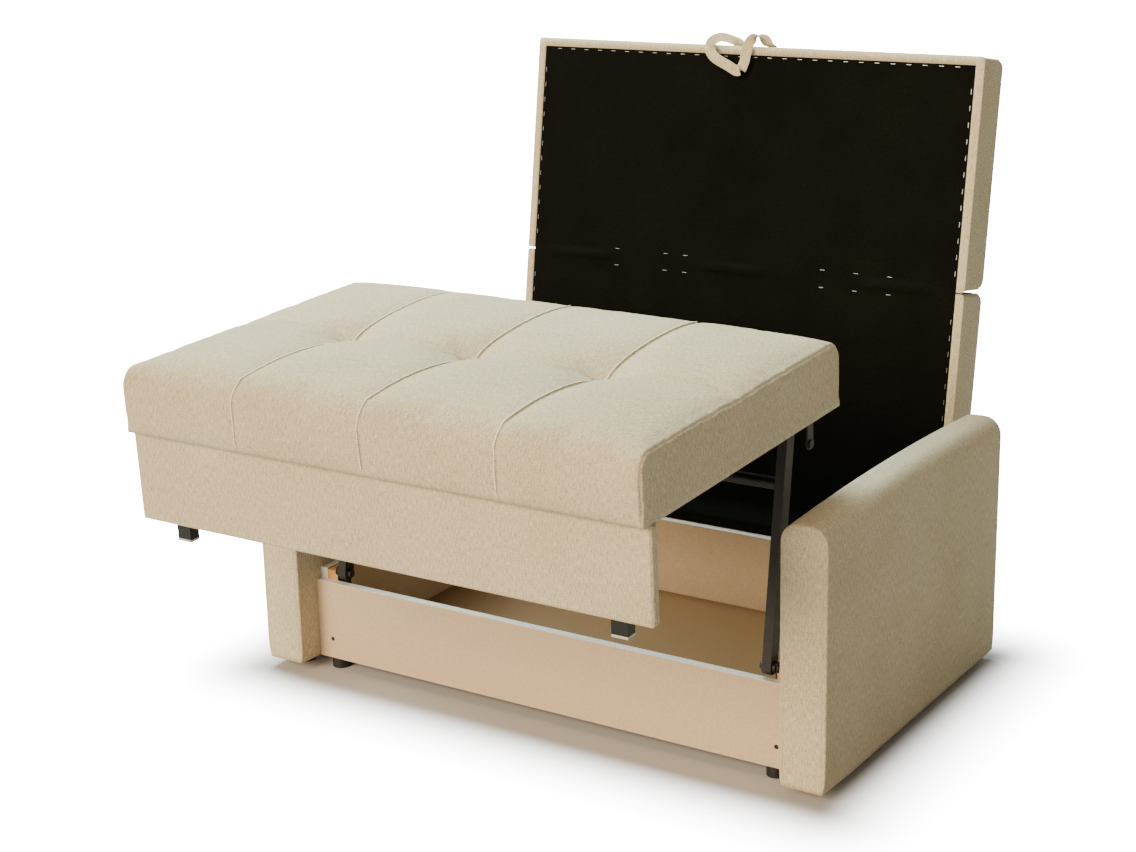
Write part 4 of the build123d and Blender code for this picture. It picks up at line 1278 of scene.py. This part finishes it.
def spline_points(control: Sequence[Vector], between: int) -> list[Vector]:
    """Runs a smooth line through points.

    Args:
        control: The points.
        between: Steps from each point to the next.

    Returns:
        Points of a Catmull-Rom line.
    """
    ends = [2 * control[0] - control[1]] + list(control) + [2 * control[-1] - control[-2]]
    line = []
    for a, b, c, d in zip(ends, ends[1:], ends[2:], ends[3:]):
        for i in range(between):
            t = i / between
            square = (2 * a - 5 * b + 4 * c - d) * t * t
            cube = (3 * b - a - 3 * c + d) * t**3
            line.append(0.5 * (2 * b + (c - a) * t + square + cube))
    return line + [control[-1]]


# The arms


@dataclass
class Arm:
    """One padded arm: a cover swept front to back with a domed top and a seamed front panel."""

    side: int
    name: str
    node: str
    inner: float = 0.6
    width: float = 0.1
    length: float = 0.85
    foot: float = 0.022
    height: float = 0.554
    front: float = -0.311101
    padding: float = 0.018
    roof: float = 0.506
    corner: float = 0.036
    end_corner: float = 0.0035
    dome: float = 0.012
    skin: float = 0.0005
    wall: float = 0.007
    top_band: float = 0.06
    top_drop: float = 0.003
    swell: float = 0.0018
    tuck: float = 0.006
    tuck_height: float = 0.05
    front_reach: float = 0.12
    bulge: float = 0.004

    def place(self, a: float, v: float, w: float) -> tuple[float, float, float]:
        """Puts a point of the cover's own axes in the model's frame."""
        return self.side * (self.inner + v), self.front + a, self.foot + w

    def soften(self, p: np.ndarray) -> np.ndarray:
        """Rounds the top a little across, swells the long faces and tucks the foot in."""
        a, v, w = p.T
        moved = np.zeros_like(p)
        share = (v / self.width - 0.5) * 2
        body = np.clip(w / self.height, 0, 1)
        run = np.clip(a / self.length, 0, 1)
        moved[:, 2] = -self.top_drop * share**2 * (w > self.height - self.top_band)
        swell = self.swell * np.sin(math.pi * body) * np.sin(math.pi * run)
        rising = np.clip(1 - w / self.tuck_height, 0, 1) ** 2
        tuck = self.tuck * np.where(w > self.skin, rising, 1.0)
        near_front = np.clip(1 - a / self.front_reach, 0, 1)
        outer = swell - tuck * (0.4 + 0.6 * near_front)
        inner = -0.3 * swell + 0.5 * tuck * near_front
        moved[:, 1] = np.where(v > self.width - self.wall, outer, np.where(v < self.wall, inner, 0))
        bulge = self.bulge * np.sin(math.pi * v / self.width) * np.sin(math.pi * body) ** 0.5
        moved[:, 0] = np.where(a < self.skin, -bulge, 0)
        return moved

    def border(self) -> list[tuple[float, float]]:
        """Gives the seam that runs round the front panel, inside its outline, as (v, w) points."""
        inset, radius, crown = 0.0085, 0.0275, 0.0145
        high = self.height - crown - inset
        turn = np.linspace(0, math.pi / 2, 12)
        rise = [(inset, w) for w in np.linspace(0.012, high - radius, 120)]
        near = [(inset + radius - radius * math.cos(t), high - radius + radius * math.sin(t)) for t in turn]
        far = [(self.width - v, w) for v, w in near[::-1]]
        fall = [(self.width - v, w) for v, w in rise[::-1]]
        return rise + near + far + fall

    def build(self, wardrobe: Wardrobe) -> None:
        pocket_a = (self.padding, self.length - self.padding)
        edges = [edge + d for edge in pocket_a for d in (-CREASE, CREASE)]
        cover = SewnCover(
            name=self.name,
            span=(0.0, self.length),
            depth=self.width,
            height=self.height,
            to_model=self.place,
            stations=sorted(set(refined(0, self.length, 0.012, (), self.end_corner) + edges)),
            rows=refined(self.corner, self.width - self.corner, 0.006),
            corner=self.corner,
            end_corner=self.end_corner,
            dome=self.dome,
            walls=44,
            arcs=5,
            pocket_a=pocket_a,
            pocket_v=(self.padding, self.width - self.padding),
            pocket_height=self.roof,
            relief=self.soften,
        ).make()
        wardrobe.dress(cover, Slot.UPHOLSTERY)
        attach(cover, Body.BASE.value)
        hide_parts(self.node)
        path = [Vector(self.place(-0.03, v, w)) for v, w in self.border()]
        seam = traced(cover, path, [Vector((0, 1, 0))] * len(path), -0.0002)
        stitch = Topstitch(pitch=0.0042, length=0.0052, radius=0.0011)
        welt = stitch.sew(self.name.replace("upholstery", "front_seam"), [seam])
        wardrobe.dress(welt, Slot.UPHOLSTERY)
        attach(welt, Body.BASE.value)
        LOG.info("%s with %d faces", self.name, len(cover.data.polygons))


# Studio


@dataclass(frozen=True)
class Studio:
    """The camera, the grey floor with its painted light, and the soft lights."""

    floor_code: str = "#C4C4C4"
    floor_size: float = 60.0
    # strength of the painted light: a floor emission, seen only by the camera, that turns the grey floor white
    # away from the sofa
    painted_floor_light: float = 22.0
    footprint_middle: tuple[float, float, float] = (0.0, 0.115, 0.0)
    footprint_half: tuple[float, float, float] = (0.69, 0.43, 0.0)
    fade: float = 0.34
    sky: tuple[float, float, float, float] = (1.0, 0.95, 0.78, 1.0)
    sky_strength: float = 0.33
    key_energy: float = 4.8
    key_angle: float = 35.0
    key_colour: tuple[float, float, float] = (1.0, 0.8, 0.56)
    key_way: tuple[float, float, float] = (0.22, 0.93, -0.42)
    softbox_place: tuple[float, float, float] = (-2.3, 1.5, 4.3)
    softbox_aim: tuple[float, float, float] = (0.0, 0.0, 0.5)
    softbox_size: float = 3.0
    softbox_power: float = 560.0
    softbox_colour: tuple[float, float, float] = (0.7, 0.88, 0.85)

    def camera(self) -> None:
        """Sets the camera where the photograph was taken."""
        yaw, pitch, roll = (math.radians(a) for a in (CAMERA_YAW, CAMERA_PITCH, CAMERA_ROLL))
        back = Vector((math.sin(yaw) * math.cos(pitch), -math.cos(yaw) * math.cos(pitch), math.sin(pitch)))
        right0 = Vector((math.cos(yaw), math.sin(yaw), 0))
        up0 = back.cross(right0)
        right = right0 * math.cos(roll) + up0 * math.sin(roll)
        up = up0 * math.cos(roll) - right0 * math.sin(roll)
        lens = bpy.data.cameras.new("camera")
        lens.sensor_fit = "HORIZONTAL"
        lens.sensor_width = SENSOR
        lens.lens = SENSOR * FOCAL_PIXELS / PHOTO_WIDTH
        camera = bpy.data.objects.new("camera", lens)
        turn = Matrix((right, up, back)).transposed().to_4x4()
        camera.matrix_world = Matrix.Translation(CAMERA_PLACE) @ turn
        bpy.context.scene.collection.objects.link(camera)
        bpy.context.scene.camera = camera

    def floor(self) -> None:
        """Lays a grey floor with painted light: a white glow seen only by the camera, none over the sofa's
        footprint and full away from it.
        """
        deselect()
        bpy.ops.mesh.primitive_plane_add(size=self.floor_size)
        floor = bpy.context.object
        floor.name = "studio_floor"
        material, tree, shader = blank_material("grey_floor_with_painted_light")
        shader.inputs["Base Color"].default_value = linear(self.floor_code)
        shader.inputs["Roughness"].default_value = 0.6
        place = add_node(tree, "ShaderNodeTexCoord").outputs["Object"]
        steps = (
            ("SUBTRACT", {"in_1": self.footprint_middle}),
            ("ABSOLUTE", {}),
            ("SUBTRACT", {"in_1": self.footprint_half}),
            ("MAXIMUM", {"in_1": (0, 0, 0)}),
        )
        for operation, settings in steps:
            step = add_node(tree, "ShaderNodeVectorMath", {"0": place}, operation=operation, **settings)
            place = step.outputs[0]
        away = add_node(tree, "ShaderNodeVectorMath", {"0": place}, operation="LENGTH").outputs["Value"]
        spread = {"in_From_Min": 0.0, "in_From_Max": self.fade, "in_To_Max": self.painted_floor_light}
        painted_light = add_node(tree, "ShaderNodeMapRange", {"Value": away}, interpolation_type="SMOOTHSTEP", **spread)
        # Painted light: the glow reaches the camera alone and lights nothing, rising from none at the footprint
        # to full past the fade, so the floor stays grey and shaded only near the sofa.
        seen = add_node(tree, "ShaderNodeLightPath").outputs["Is Camera Ray"]
        strength = add_node(tree, "ShaderNodeMath", {"0": painted_light.outputs[0], "1": seen}, operation="MULTIPLY")
        tree.links.new(strength.outputs[0], shader.inputs["Emission Strength"])
        shader.inputs["Emission Color"].default_value = (1.0, 1.0, 1.0, 1.0)
        floor.data.materials.append(material)

    def hang(self, light: bpy.types.Light, place: Vector, way: Vector) -> None:
        """Puts a light at a place, facing a way."""
        holder = bpy.data.objects.new(light.name, light)
        holder.matrix_world = Matrix.Translation(place) @ way.to_track_quat("-Z", "Y").to_matrix().to_4x4()
        bpy.context.scene.collection.objects.link(holder)

    def lights(self) -> None:
        """Adds faint surroundings, a warm front light and a cool light high behind the sofa."""
        world = bpy.data.worlds.new("studio_white")
        world.use_nodes = True
        background = world.node_tree.nodes["Background"]
        background.inputs["Color"].default_value = self.sky
        background.inputs["Strength"].default_value = self.sky_strength
        bpy.context.scene.world = world
        sun = bpy.data.lights.new("front_key", "SUN")
        sun.energy = self.key_energy
        sun.angle = math.radians(self.key_angle)
        sun.color = self.key_colour
        self.hang(sun, Vector((0, 0, 0)), Vector(self.key_way))
        softbox = bpy.data.lights.new("rear_softbox", "AREA")
        softbox.size = self.softbox_size
        softbox.energy = self.softbox_power
        softbox.color = self.softbox_colour
        place = Vector(self.softbox_place)
        self.hang(softbox, place, Vector(self.softbox_aim) - place)

    def build(self) -> None:
        """Sets up camera, floor and lights."""
        self.camera()
        self.floor()
        self.lights()
        LOG.info("studio ready")


def main() -> None:
    """Builds every sub-assembly in order."""
    logging.basicConfig(level=logging.INFO, format="%(message)s")
    Studio().build()
    wardrobe = Wardrobe()
    wardrobe.dress_nodes()
    Seat().build(wardrobe)
    slabs = (
        BackSlab("back_lower_cushion", "lower_slab_cushion", LOWER_STAND, LOWER_LENGTH, Body.BASE, False),
        BackSlab("back_upper_cushion", "upper_slab_cushion", UPPER_STAND, UPPER_LENGTH, Body.UPPER_SLAB, True),
    )
    for slab in slabs:
        slab.build(wardrobe)
    BackLining().build(wardrobe)
    PullStrap().build(wardrobe)
    Arm(1, "left_arm_upholstery", "left_arm_cover").build(wardrobe)
    Arm(-1, "right_arm_upholstery", "right_arm_cover").build(wardrobe)


if __name__ == "__main__":
    main()
